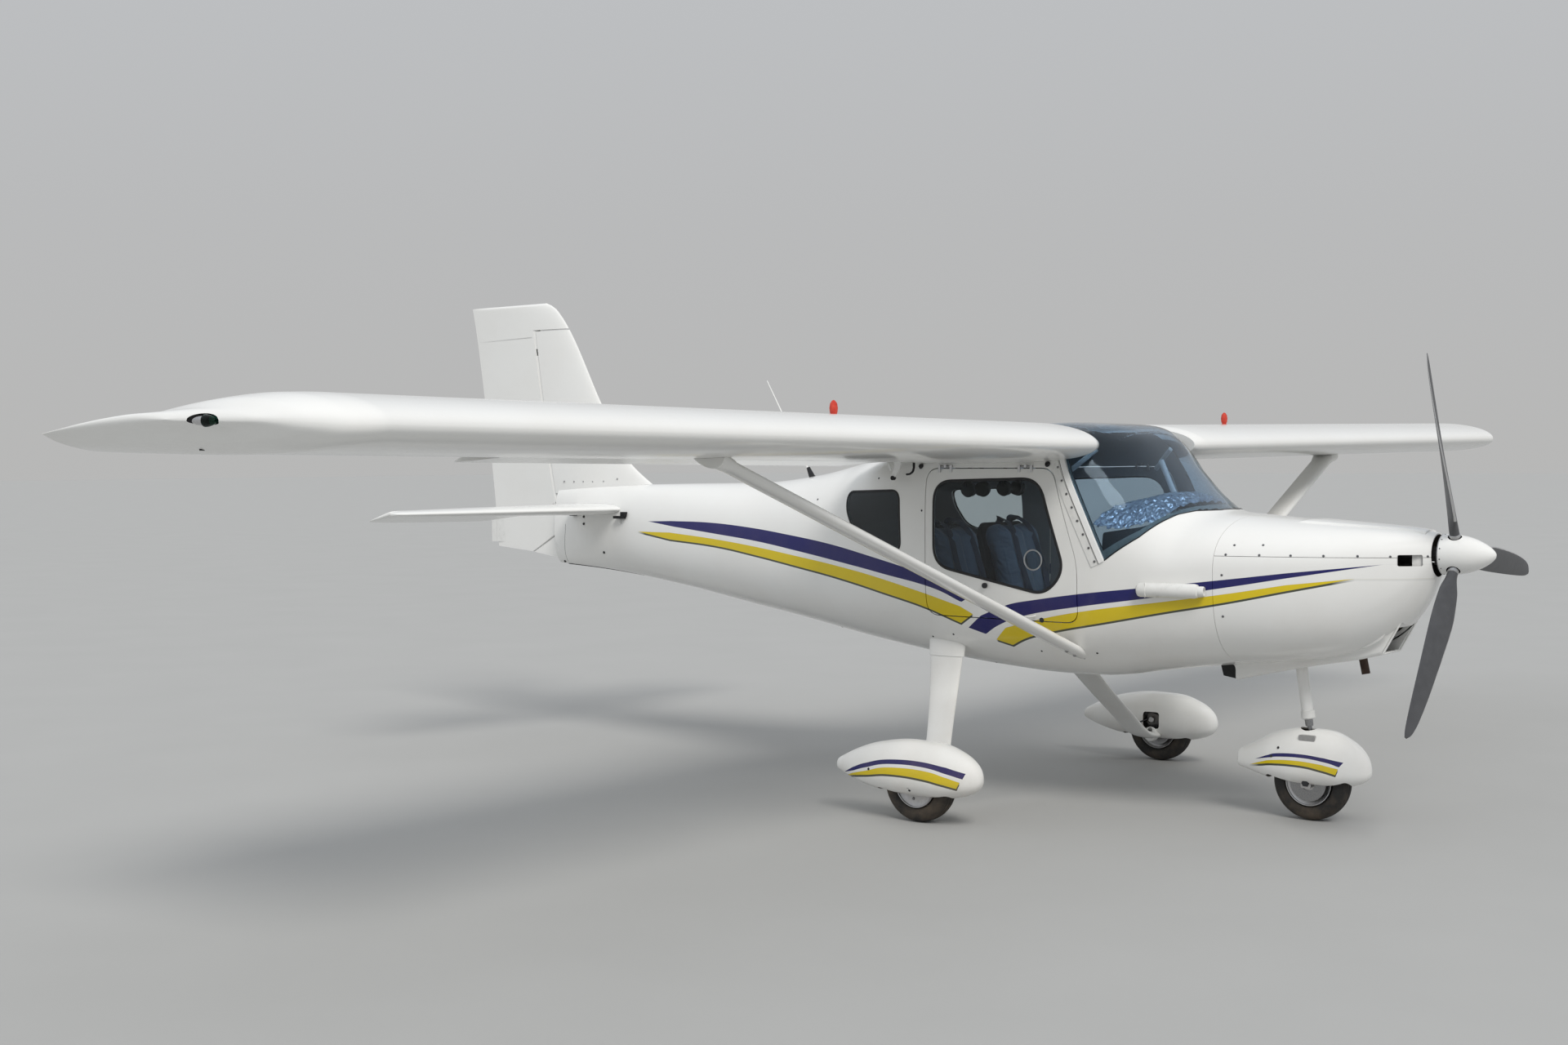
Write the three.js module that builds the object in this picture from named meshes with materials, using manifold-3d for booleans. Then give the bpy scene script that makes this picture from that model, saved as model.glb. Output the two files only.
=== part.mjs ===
// Two-seat high-wing light aircraft with fixed tricycle gear, in millimetres, +Z up, +X towards the nose.
// Stations are measured from the main axle: x forward, y to the left, z up from the ground.
// The finished group is then slid along X so that its origin is under the middle of the overall length.
import * as THREE from 'three';
import { mergeVertices } from 'three/addons/utils/BufferGeometryUtils.js';
import Module from 'manifold-3d';

const wasm = await Module();
wasm.setup();

// Driving dimensions
const SPINNER_TIP_X = 2033;
const RUDDER_END_X = -3985;
const HALF_SPAN = 4515;
const ORIGIN_SHIFT = -(SPINNER_TIP_X + RUDDER_END_X) / 2;
const FIT = 0.3;
const RUN = 6;
const DOOR_GAP = 8;
const FIREWALL_X = 1040;
const BULKHEAD_X = -1000;
const WALL = 14;
const GLASS = 5;
const CONE_SKIN = 5;
const TRACK_HALF = 1040;
const TYRE_RADIUS = 162;
const TYRE_HALF = 50;
const NOSE_WHEEL_X = 1274;
const SIDES = [['left', 1], ['right', -1]];

// Colours and finishes
const paint = (color, roughness, metalness = 0) =>
  new THREE.MeshStandardMaterial({ color, roughness, metalness });
const WHITE = paint(0xf2f2ee, 0.25);
const DARK = paint(0x24262b, 0.5);
const RUBBER = paint(0x17171a, 0.85);
const ALLOY = paint(0xb9bcc0, 0.35, 0.9);
const STEEL = paint(0x8a8078, 0.4, 0.9);
const CLOTH = paint(0x2c3240, 0.9);
const CARBON = paint(0x33353a, 0.35);
const CLEAR = paint(0x8fb4c8, 0.05);
CLEAR.transparent = true;
CLEAR.opacity = 0.4;

// Solids and joins
function solidOf(geometry) {
  const bare = geometry.clone();
  bare.deleteAttribute('normal');
  bare.deleteAttribute('uv');
  const merged = mergeVertices(bare, 1e-4);
  const points = merged.attributes.position;
  const corners = Uint32Array.from(merged.index.array);
  const at = (i) => new THREE.Vector3().fromBufferAttribute(points, i);
  let volume = 0;
  for (let i = 0; i < corners.length; i += 3) {
    volume += at(corners[i]).dot(at(corners[i + 1]).cross(at(corners[i + 2])));
  }
  if (volume < 0) corners.reverse();
  return new wasm.Manifold(new wasm.Mesh({
    numProp: 3,
    vertProperties: Float32Array.from(points.array),
    triVerts: corners,
  }));
}

function geometryOf(solid) {
  const mesh = solid.getMesh();
  const geometry = new THREE.BufferGeometry();
  geometry.setAttribute('position', new THREE.BufferAttribute(Float32Array.from(mesh.vertProperties), 3));
  geometry.setIndex(Array.from(mesh.triVerts));
  return geometry;
}

const join = (...solids) => solids.reduce((sum, next) => sum.add(next));
const cut = (solid, ...tools) => tools.reduce((rest, tool) => rest.subtract(tool), solid);

// Shapes
function loft(rings) {
  const count = rings[0].length;
  const points = rings.flat();
  const faces = [];
  for (let r = 0; r + 1 < rings.length; r += 1) {
    for (let i = 0; i < count; i += 1) {
      const a = r * count + i;
      const b = r * count + (i + 1) % count;
      faces.push(a, b, b + count, a, b + count, a + count);
    }
  }
  [0, rings.length - 1].forEach((r, end) => {
    const middle = [0, 1, 2].map((k) => rings[r].reduce((sum, p) => sum + p[k], 0) / count);
    points.push(middle);
    for (let i = 0; i < count; i += 1) {
      const a = r * count + i;
      const b = r * count + (i + 1) % count;
      faces.push(points.length - 1, end ? a : b, end ? b : a);
    }
  });
  const geometry = new THREE.BufferGeometry();
  geometry.setAttribute('position', new THREE.BufferAttribute(new Float32Array(points.flat()), 3));
  geometry.setIndex(faces);
  return solidOf(geometry);
}

function box(x0, x1, y0, y1, z0, z1) {
  const geometry = new THREE.BoxGeometry(Math.abs(x1 - x0), Math.abs(y1 - y0), Math.abs(z1 - z0));
  return solidOf(geometry.translate((x0 + x1) / 2, (y0 + y1) / 2, (z0 + z1) / 2));
}

function rod(from, to, radius, endRadius = radius, sides = 14) {
  const start = new THREE.Vector3(...from);
  const along = new THREE.Vector3(...to).sub(start);
  const geometry = new THREE.CylinderGeometry(endRadius, radius, along.length(), sides);
  geometry.translate(0, along.length() / 2, 0);
  geometry.applyQuaternion(new THREE.Quaternion().setFromUnitVectors(
    new THREE.Vector3(0, 1, 0), along.normalize()));
  return solidOf(geometry.translate(start.x, start.y, start.z));
}

// A closed outline whose corners are rounded by arcs of the given radius
function outline(points, radius = 0) {
  const shape = new THREE.Shape();
  const corner = (i) => new THREE.Vector2(...points[(i + points.length) % points.length]);
  points.forEach((point, i) => {
    const here = corner(i);
    const before = corner(i - 1).sub(here);
    const after = corner(i + 1).sub(here);
    const reach = Math.min(radius, before.length() * 0.48, after.length() * 0.48);
    const enter = here.clone().add(before.setLength(reach));
    const leave = here.clone().add(after.setLength(reach));
    if (i === 0) shape.moveTo(enter.x, enter.y);
    else shape.lineTo(enter.x, enter.y);
    if (radius > 0) shape.quadraticCurveTo(here.x, here.y, leave.x, leave.y);
  });
  return shape;
}

// An outline drawn in side view (x, z), made solid from y0 to y1
function sidePrism(points, y0, y1, radius = 0) {
  const geometry = new THREE.ExtrudeGeometry(outline(points, radius),
    { depth: Math.abs(y1 - y0), bevelEnabled: false, curveSegments: 3 });
  return solidOf(geometry.rotateX(Math.PI / 2).translate(0, Math.max(y0, y1), 0));
}

// An outline drawn from above (x, y), made solid from z0 to z1
function planPrism(points, z0, z1, radius = 0) {
  const geometry = new THREE.ExtrudeGeometry(outline(points, radius),
    { depth: z1 - z0, bevelEnabled: false, curveSegments: 5 });
  return solidOf(geometry.translate(0, 0, z0));
}

// A half profile of [x, radius] turned round an axis along X at height z
function turnX(profile, z, sides = 18) {
  const geometry = new THREE.LatheGeometry(profile.map(([x, r]) => new THREE.Vector2(r, x)), sides);
  return solidOf(geometry.rotateZ(-Math.PI / 2).translate(0, 0, z));
}

// A half profile of [y, radius] turned round a wheel's axis
function turnY(profile, x, y, z, sides = 20) {
  const geometry = new THREE.LatheGeometry(profile.map(([a, r]) => new THREE.Vector2(r, a)), sides);
  return solidOf(geometry.translate(x, y, z));
}

// Rounded body sections: x, lowest z, z of the widest place, highest z, half width,
// and how square the section is below and above the widest place
const RING = 24;
const power = (value, square) => Math.sign(value) * Math.abs(value) ** (2 / square);
function bodyRing([x, low, wide, high, half, squareLow, squareHigh], inset = 0, shiftY = 0, count = RING) {
  return Array.from({ length: count }, (_, i) => {
    const angle = (2 * Math.PI * i) / count;
    const square = Math.sin(angle) < 0 ? squareLow : squareHigh;
    const reach = (Math.sin(angle) < 0 ? wide - low : high - wide) - inset;
    return [x, shiftY + (half - inset) * power(Math.cos(angle), square),
      wide + reach * power(Math.sin(angle), square)];
  });
}

const FUSELAGE = [
  [-3240, 945, 1130, 1372, 62, 2.2, 2.2],
  [-2900, 925, 1130, 1384, 112, 2.2, 2.2],
  [-2300, 862, 1110, 1396, 205, 2.4, 2.3],
  [-1700, 775, 1085, 1406, 305, 2.5, 2.3],
  [-1300, 718, 1070, 1446, 375, 2.6, 2.5],
  [-1000, 672, 1060, 1502, 430, 2.7, 2.8],
  [-780, 642, 1055, 1546, 474, 2.8, 3.8],
  [-450, 604, 1050, 1616, 530, 2.9, 5.0],
  [-100, 572, 1045, 1668, 548, 3.0, 4.6],
  [200, 556, 1040, 1684, 550, 3.0, 4.2],
  [400, 560, 1035, 1672, 545, 3.0, 4.2],
  [500, 570, 1030, 1638, 540, 3.0, 3.0],
  [620, 592, 1030, 1520, 527, 3.0, 2.3],
  [740, 610, 1035, 1397, 509, 3.0, 2.1],
  [850, 625, 1040, 1317, 491, 3.0, 2.0],
  [920, 634, 1045, 1290, 477, 3.0, 2.2],
  [1040, 650, 1050, 1278, 452, 2.9, 2.4],
  [1250, 672, 1060, 1262, 400, 2.8, 2.4],
  [1450, 705, 1075, 1248, 330, 2.6, 2.4],
  [1600, 765, 1090, 1238, 255, 2.4, 2.4],
  [1700, 850, 1105, 1230, 190, 2.3, 2.3],
  [1770, 950, 1120, 1222, 125, 2.1, 2.1],
  [1805, 1040, 1130, 1215, 86, 2.0, 2.0],
];
const fuselage = (inset) => loft(FUSELAGE.map((row) => bodyRing(row, inset)));
const skin = fuselage(0);
const skinFit = fuselage(-FIT);
const cabinVoid = fuselage(WALL);
const cabinFit = fuselage(WALL + FIT);
const glassVoid = fuselage(GLASS);

// Wing sections: y, leading edge x, chord, thickness ratio, height added
const WING_Z = 1579;
const WING_DROP = 64;
const DIHEDRAL = 0.0123;
const CAMBER = 0.025;
const CAMBER_AT = 0.4;
const WING_ROOT = 430;
// Taken off the thickest part of a section to leave hollow wings, fins and their moving surfaces
const WING_THINNER = 10;
const FLAP_THINNER = 16;
const TAIL_THINNER = 9;
const WING_SPAR_X = -460;
const WING_RIB_Y = 4380;
const WING = [
  [WING_ROOT, 500, 1270, 0.115, 0],
  [500, 526, 1311, 0.13, 0],
  [4240, 526, 1311, 0.13, 0],
  [4330, 490, 1275, 0.134, -2],
  [4410, 400, 1187, 0.108, 5],
  [4470, 230, 1020, 0.05, 14],
  [HALF_SPAN, -130, 665, 0.034, 19],
];
const STATIONS = [1, 0.8, 0.6, 0.4, 0.22, 0.1, 0.03, 0];

function halfThickness(at, ratio) {
  const spread = 0.2969 * Math.sqrt(at) - 0.126 * at - 0.3516 * at ** 2 + 0.2843 * at ** 3
    - 0.1036 * at ** 4;
  return 5 * ratio * spread + 0.0012;
}

function camberLine(at) {
  const ahead = (CAMBER / CAMBER_AT ** 2) * (2 * CAMBER_AT * at - at ** 2);
  const behind = (CAMBER / (1 - CAMBER_AT) ** 2) * (1 - 2 * CAMBER_AT + 2 * CAMBER_AT * at - at ** 2);
  return at < CAMBER_AT ? ahead : behind;
}

// Aerofoil as [distance aft, height] pairs for a unit chord, over the top and back below
function aerofoil(ratio, cambered) {
  const line = (at) => (cambered ? camberLine(at) : 0);
  const upper = STATIONS.map((at) => [at, line(at) + halfThickness(at, ratio)]);
  const lower = STATIONS.slice(0, -1).reverse().map((at) => [at, line(at) - halfThickness(at, ratio)]);
  return [...upper, ...lower];
}

function wingBlank(side, lower = 0, thinner = 0) {
  return loft(WING.map(([y, lead, fullChord, ratio, rise]) => {
    const chord = fullChord - thinner;
    const lift = rise + DIHEDRAL * (y - WING_ROOT) - lower;
    return aerofoil(ratio - thinner / fullChord, true).map(([aft, up]) => [lead - thinner / 2 - aft * chord,
      side * y, WING_Z + lift - aft * WING_DROP * (chord / 1311) + up * chord]);
  }));
}

// A hinge line: a tool for the moving surface's round nose, the room cut round it,
// the inside that can be hollow, and the arms with their pins that carry it
const HOLLOW_FROM = 10;
function hingeLine({ from, to, aft, nose, lip, height, depth, arms, hollow = [0, 1, 1] }) {
  const start = new THREE.Vector3(...from);
  const span = new THREE.Vector3(...to).sub(start);
  const length = span.length();
  const axis = span.clone().normalize();
  const back = new THREE.Vector3(...aft).normalize();
  const up = axis.clone().cross(back).normalize();
  const place = new THREE.Matrix4().makeBasis(back, up, back.clone().cross(up)).setPosition(start);
  const turned = back.clone().cross(up).dot(axis) > 0 ? 1 : -1;
  const extrude = (shape, a, b) => {
    const options = { depth: b - a, bevelEnabled: false, curveSegments: 4 };
    const geometry = new THREE.ExtrudeGeometry(shape, options);
    geometry.translate(0, 0, turned > 0 ? a : -b);
    return solidOf(geometry.applyMatrix4(place));
  };
  const surface = (radius, edge, reach) => {
    const shape = new THREE.Shape();
    shape.moveTo(edge, -height);
    shape.lineTo(reach, -height);
    shape.lineTo(reach, height);
    shape.lineTo(edge, height);
    const corner = Math.acos(THREE.MathUtils.clamp(edge / radius, -1, 1));
    shape.absarc(0, 0, radius, corner, 2 * Math.PI - corner, false);
    shape.closePath();
    return shape;
  };
  const rect = (u0, u1, v) => outline([[u0, -v], [u1, -v], [u1, v], [u0, v]]);
  const circle = new THREE.Shape();
  circle.absarc(0, 0, 5, 0, 2 * Math.PI, false);
  const pinHalf = 20;
  const spots = arms.map((fraction) => fraction * length);
  return {
    moving: extrude(surface(nose, 0, depth), 0, length),
    room: extrude(surface(nose + RUN, -lip * nose, depth + 30), -RUN, length + RUN),
    inside: extrude(rect(HOLLOW_FROM, hollow[2], height), hollow[0], length - hollow[1]),
    notches: spots.map((s) => extrude(rect(-nose - 1, 13, height), s - pinHalf, s + pinHalf)),
    carriers: spots.map((s) => join(extrude(rect(-nose - RUN - 14, 6, 6), s - 5, s + 5),
      extrude(circle, s - pinHalf + FIT, s + pinHalf - FIT))),
  };
}

const group = new THREE.Group();
group.name = 'light_aircraft';
function add(name, solid, material) {
  const mesh = new THREE.Mesh(geometryOf(solid), material);
  mesh.name = name;
  group.add(mesh);
}

// Doors, windows and windscreen, drawn in side view
const DOOR = [[325, 1478], [455, 1075], [455, 822], [-330, 822], [-330, 1478]];
const DOOR_WINDOW = [[-284, 1422], [266, 1436], [397, 1040], [302, 936], [-284, 1048]];
const QUARTER_WINDOW = [[-850, 1370], [-490, 1380], [-478, 1098], [-788, 1186], [-848, 1290]];
const grow = (points, by) => {
  const middle = [0, 1].map((k) => points.reduce((sum, p) => sum + p[k], 0) / points.length);
  return points.map((p) => p.map((value, k) => value + Math.sign(value - middle[k]) * by));
};
const outboard = (s) => [s * 200, s * 700];

const SCREEN_CORNER = [583, 1092];
const SCREEN_BASE = [[633, 1131], [717, 1191], [771, 1249], [806, 1283], [840, 1296], [1000, 1300]];
const SCREEN_POST_LEAN = -0.484;
const SKYLIGHT_AFT_X = 60;
function screenRegion(gap) {
  const [cornerX, cornerZ] = SCREEN_CORNER;
  const front = 1000;
  const top = 1750;
  const postX = (z) => cornerX + SCREEN_POST_LEAN * (z - cornerZ);
  const base = SCREEN_BASE.map(([x, z]) => [x + gap, z - gap]);
  const screen = sidePrism([[cornerX - gap, cornerZ - gap * 1.7], ...base, [front + gap, top],
    [postX(top) - gap, top]], -600, 600);
  const skylight = box(SKYLIGHT_AFT_X - gap, 450, -360 - gap, 360 + gap, 1540, top);
  return join(screen, skylight);
}

// Hinges of the two doors: each knuckle's x and how far in its arm reaches the roof frame
const DOOR_HINGE_Y = 522;
const DOOR_HINGE_Z = 1488;
const DOOR_KNUCKLES = [[-230, 500], [190, 508]];
const PIN_HALF = 25;
const EAR = 12;
function doorHinges(s) {
  const y = s * DOOR_HINGE_Y;
  const z = DOOR_HINGE_Z;
  const roomHalf = PIN_HALF + EAR + RUN;
  return {
    rooms: DOOR_KNUCKLES.map(([x]) => box(x - roomHalf, x + roomHalf, s * 480, s * 560, z - 30, z + 14)),
    notches: DOOR_KNUCKLES.map(([x]) => box(x - PIN_HALF, x + PIN_HALF, s * 460, s * 560, z - 22, z + 12)),
    ears: DOOR_KNUCKLES.map(([x]) => join(...[1, -1].map((end) =>
      box(x + end * PIN_HALF, x + end * (PIN_HALF + EAR), y - s * 18, y + s * 6, z - 26, z + 6)))),
    carriers: DOOR_KNUCKLES.map(([x, wall]) => join(
      box(x - 6, x + 6, s * wall, y + s * 5, z - 5, z + 8),
      box(x - 6, x + 6, s * (wall - 6), s * (wall + 2), z - 5, z + 17),
      rod([x - PIN_HALF + FIT, y, z], [x + PIN_HALF - FIT, y, z], 4, 4, 8))),
  };
}

// Fuselage shell, tail cone, doors and glass
const cabinSpace = cabinVoid.intersect(box(BULKHEAD_X + WALL, FIREWALL_X - WALL, -600, 600, 0, 2000));
const wallSolid = cut(skin, cabinSpace);
let cabinShell = wallSolid.intersect(box(BULKHEAD_X, FIREWALL_X, -700, 700, 0, 2000));
cabinShell = cut(cabinShell, screenRegion(FIT));
for (const [name, s] of SIDES) {
  const hinges = doorHinges(s);
  const [near, far] = outboard(s);
  let door = wallSolid.intersect(sidePrism(DOOR, near, far, 60));
  door = join(cut(door, sidePrism(DOOR_WINDOW, near, far, 90), ...hinges.notches), ...hinges.ears);
  const paneBlank = cut(skin, glassVoid);
  const doorPane = paneBlank.intersect(sidePrism(grow(DOOR_WINDOW, -FIT), near, far, 90));
  const quarterPane = paneBlank.intersect(sidePrism(grow(QUARTER_WINDOW, -FIT), near, far, 50));
  cabinShell = cut(cabinShell, sidePrism(grow(DOOR, DOOR_GAP), near, far, 66),
    sidePrism(QUARTER_WINDOW, near, far, 50), ...hinges.rooms);
  add(`${name}_door`, door, WHITE);
  add(`${name}_door_window`, doorPane, CLEAR);
  add(`${name}_quarter_window`, quarterPane, CLEAR);
}
for (const [, s] of SIDES) cabinShell = join(cabinShell, ...doorHinges(s).carriers);
add('cabin_shell', cabinShell, WHITE);
const screenBlank = cut(skin, glassVoid).intersect(box(0, 1000, -700, 700, 0, 2000));
add('windscreen', screenBlank.intersect(screenRegion(0)), CLEAR);

// Tail cone, cowlings, engine and what hangs under them
const COWL_SPLIT_Z = 1120;
const COWL_WALL = 6;
const NOSE_X = 1806;
const PROP_Z = 1130;
const cowlVoid = fuselage(COWL_WALL);
const cowlShell = cut(skin, cowlVoid).intersect(box(FIREWALL_X + 1, NOSE_X, -600, 600, 0, 2000));
const inletHoles = SIDES.map(([, s]) => box(1706, 1782, s * 60, s * 300, 1086, 1131));

const DUCT_HALF = 90;
const DUCT = [[966, 573], [1122, 612], [1316, 656], [1513, 694], [1604, 718], [1690, 869], [1640, 930],
  [1500, 1000], [945, 800]];
const DUCT_MOUTH = [[1470, 698], [1610, 728], [1720, 728], [1720, 828], [1665, 828], [1470, 790]];
const DUCT_OUTLET = [[940, 578], [1112, 621], [1160, 634], [1160, 800], [940, 800]];
function bellyDuct() {
  const body = sidePrism(DUCT, -DUCT_HALF, DUCT_HALF, 6);
  const inside = DUCT_HALF - COWL_WALL;
  return cut(body, skinFit, sidePrism(DUCT_MOUTH, -inside, inside), sidePrism(DUCT_OUTLET, -inside, inside));
}

const ENGINE = { x0: 1130, x1: 1600, half: 170, z0: 880, z1: 1180 };
const MOUNT_FEET = [[-150, 900], [150, 900], [-150, 1160], [150, 1160]];
const SHAFT_END_X = 1823.7;
function engineBlock() {
  const { x0, x1, half, z0, z1 } = ENGINE;
  const feet = MOUNT_FEET.map(([y, z]) => rod([FIREWALL_X + FIT, y, z], [x0 + 5, y, z], 14, 14, 12));
  const gearbox = rod([x1 - 5, 0, PROP_Z], [1740, 0, PROP_Z], 62);
  const shaft = rod([1735, 0, PROP_Z], [SHAFT_END_X, 0, PROP_Z], 30);
  return join(box(x0, x1, -half, half, z0, z1), ...feet, gearbox, shaft);
}

const EXHAUST_X = 1394;
const EXHAUST_Y = 135;
const EXHAUST_RADIUS = 19;
const exhaustEnd = [EXHAUST_X + 54, EXHAUST_Y, 612];
const exhaustPath = (radius, top) => rod([EXHAUST_X, EXHAUST_Y, top], exhaustEnd, radius);
function exhaustPipe() {
  const bore = rod([EXHAUST_X + 27, EXHAUST_Y, 746], [EXHAUST_X + 56, EXHAUST_Y, 602], EXHAUST_RADIUS - 3);
  return cut(exhaustPath(EXHAUST_RADIUS, ENGINE.z0 - FIT - EXHAUST_RADIUS * 0.21), bore);
}

// Landing gear
const NOSE_PIVOT = [1262, 0, 372];
const NOSE_LEG_TOP = [1191, 0, 860];
const NOSE_LEG_RADIUS = 24.5;
const NOSE_PIN_RADIUS = 10;
const legUp = new THREE.Vector3(...NOSE_LEG_TOP).sub(new THREE.Vector3(...NOSE_PIVOT)).normalize();
const alongLeg = (distance) => new THREE.Vector3(...NOSE_PIVOT).addScaledVector(legUp, distance).toArray();
const LEG_FOOT = 50;
const noseLegRoom = rod(alongLeg(LEG_FOOT), alongLeg(520), NOSE_LEG_RADIUS + FIT);
function noseLeg() {
  const tube = rod(alongLeg(LEG_FOOT), alongLeg(480), NOSE_LEG_RADIUS);
  const pin = rod(alongLeg(-24), alongLeg(LEG_FOOT + 5), NOSE_PIN_RADIUS);
  const brace = box(FIREWALL_X + FIT, 1225, -20, 20, 780, 820);
  return join(tube, pin, brace);
}

// Wheel pants: place along the length from -1 at the tail to 1 at the nose,
// then share of the depth below, of the height above, and of the half width
const PANT_SHAPE = [
  [1, 0.1, 0.08, 0.12],
  [0.92, 0.5, 0.42, 0.46],
  [0.68, 0.82, 0.76, 0.8],
  [0.3, 1, 0.98, 1],
  [-0.08, 1, 1, 1],
  [-0.46, 0.84, 0.84, 0.84],
  [-0.78, 0.52, 0.5, 0.52],
  [-1, 0.18, 0.16, 0.14],
];
const MAIN_PANT = { front: 306, rear: 446, below: 95, above: 142, half: 105, level: 200 };
const NOSE_PANT = { front: 254, rear: 340, below: 80, above: 164, half: 95, level: 222 };
const PANT_WALL = 6;
const PANT_RING = 14;
function pantSolid(dims, x, y, inset) {
  return loft(PANT_SHAPE.map(([at, below, above, wide]) => bodyRing([
    x + at * (at > 0 ? dims.front : dims.rear), dims.level - below * dims.below, dims.level,
    dims.level + above * dims.above, wide * dims.half, 2.4, 2.2], inset, y, PANT_RING)));
}
const WELL_HALF = TYRE_HALF + 16;
function pantShell(dims, x, y) {
  const room = box(x - 255, x + 232, y - dims.half, y + dims.half, 0, 500);
  const mouth = box(x - 232, x + 212, y - WELL_HALF, y + WELL_HALF, 0, dims.level - 20);
  return cut(pantSolid(dims, x, y, 0), pantSolid(dims, x, y, PANT_WALL).intersect(room), mouth);
}

// Main leg: y, z, x, chord, thickness
const MAIN_LEG = [
  [380, 757, -312, 196, 34],
  [436, 687, -281, 186, 34],
  [520, 581, -234, 165, 32],
  [600, 481, -190, 148, 32],
  [680, 382, -148, 136, 32],
  [752, 299, -110, 130, 32],
  [820, 222, -74, 128, 32],
  [880, 153, -43, 126, 34],
  [912, 138, -22, 118, 38],
  [952, 136, -8, 104, 40],
];
const LEG_SIDES = 12;
function mainLegBlank(s) {
  return loft(MAIN_LEG.map(([y, z, x, chord, thick], i) => {
    const next = MAIN_LEG[Math.min(i + 1, MAIN_LEG.length - 1)];
    const last = MAIN_LEG[Math.max(i - 1, 0)];
    const run = Math.hypot(next[0] - last[0], next[1] - last[1]);
    const [ny, nz] = [-(next[1] - last[1]) / run, (next[0] - last[0]) / run];
    return Array.from({ length: LEG_SIDES }, (_, k) => {
      const angle = (2 * Math.PI * k) / LEG_SIDES;
      const off = (thick / 2) * power(Math.sin(angle), 2.4);
      return [x + (chord / 2) * power(Math.cos(angle), 2.4), s * (y + ny * off), z + nz * off];
    });
  }));
}

const AXLE_RADIUS = 12;
const BRAKE_WINDOW = [[-48, 168], [42, 168], [42, 250], [-48, 250]];
const HUB_PROFILE = [[-46, 13], [46, 13], [46, 32], [36, 40], [36, 84], [46, 96],
  [-46, 96], [-36, 84], [-36, 40], [-46, 32], [-46, 13]];
const TYRE_PROFILE = [[-46, 96 + FIT], [46, 96 + FIT], [50, 118], [42, 144], [0, TYRE_RADIUS],
  [-42, 144], [-50, 118], [-46, 96 + FIT]];

function addWheel(name, x, y) {
  add(`${name}_hub`, turnY(HUB_PROFILE, x, y, TYRE_RADIUS), ALLOY);
  add(`${name}_tyre`, turnY(TYRE_PROFILE, x, y, TYRE_RADIUS), RUBBER);
}

const legs = {};
for (const [name, s] of SIDES) {
  const y = s * TRACK_HALF;
  const pantFit = pantSolid(MAIN_PANT, 0, y, -FIT);
  const blade = cut(mainLegBlank(s), skinFit, pantFit);
  const inner = pantSolid(MAIN_PANT, 0, y, PANT_WALL + FIT);
  const stub = rod([0, s * 918, TYRE_RADIUS], [0, s * (TRACK_HALF + 120), TYRE_RADIUS], AXLE_RADIUS);
  const outer = box(-50, 50, s * (TRACK_HALF + 40), s * (TRACK_HALF + 130), 0, 400);
  legs[name] = join(blade, cut(stub, cut(outer, inner)));
  add(`${name}_main_leg`, legs[name], WHITE);
  const axleRoom = rod([0, s * 900, TYRE_RADIUS], [0, s * TRACK_HALF, TYRE_RADIUS], AXLE_RADIUS + FIT);
  const window = sidePrism(BRAKE_WINDOW, s * 900, s * (TRACK_HALF - 60), 18);
  add(`${name}_wheel_pant`, cut(pantShell(MAIN_PANT, 0, y), axleRoom, window), WHITE);
  addWheel(`${name}_wheel`, 0, y);
}

function noseFork() {
  const inner = pantSolid(NOSE_PANT, NOSE_WHEEL_X, 0, PANT_WALL + FIT);
  const crown = box(NOSE_WHEEL_X - 32, NOSE_WHEEL_X + 40, -72, 72, 338, 362);
  const blades = [1, -1].map((s) => box(NOSE_WHEEL_X - 22, NOSE_WHEEL_X + 22, s * 62, s * 72, 145, 362));
  const axle = rod([NOSE_WHEEL_X, -100, TYRE_RADIUS], [NOSE_WHEEL_X, 100, TYRE_RADIUS], AXLE_RADIUS);
  const bore = rod(alongLeg(-60), alongLeg(40), NOSE_PIN_RADIUS + 2 * FIT);
  return cut(join(crown, ...blades, axle).intersect(inner), bore);
}
add('nose_leg', noseLeg(), WHITE);
add('nose_fork', noseFork(), ALLOY);
const noseTop = rod(alongLeg(-60), alongLeg(120), NOSE_LEG_RADIUS + RUN + 6);
add('nose_pant', cut(pantShell(NOSE_PANT, NOSE_WHEEL_X, 0), noseTop), WHITE);
addWheel('nose_wheel', NOSE_WHEEL_X, 0);

add('belly_duct', cut(bellyDuct(), noseLegRoom), WHITE);
add('upper_cowling', cut(cowlShell.intersect(box(1000, 1900, -600, 600, COWL_SPLIT_Z + FIT, 2000)),
  ...inletHoles), WHITE);
const exhaustRoom = rod([EXHAUST_X, EXHAUST_Y, 900], exhaustEnd, EXHAUST_RADIUS + RUN);
add('lower_cowling', cut(cowlShell.intersect(box(1000, 1900, -600, 600, 0, COWL_SPLIT_Z)),
  ...inletHoles, noseLegRoom, exhaustRoom, rod([1700, 0, PROP_Z], [1850, 0, PROP_Z], 45)), WHITE);
add('engine_block', engineBlock(), ALLOY);
add('exhaust_pipe', exhaustPipe(), STEEL);

// Propeller and spinner
const PROP_X = 1880;
const PROP_RADIUS = 850;
const BLADE_ANGLES = [113.3, 233.3, 353.3];
const SPINNER_BASE_X = 1824;
const SPINNER_RADIUS = 82;
const SPINNER = [[SPINNER_BASE_X + 5, SPINNER_RADIUS], [1880, 80], [1930, 68], [1980, 47], [2015, 24],
  [SPINNER_TIP_X, 0], [2028, 0], [2010, 20], [1976, 42], [1928, 62], [1880, 74], [SPINNER_BASE_X + 5, 76],
  [SPINNER_BASE_X + 5, SPINNER_RADIUS]];
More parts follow.
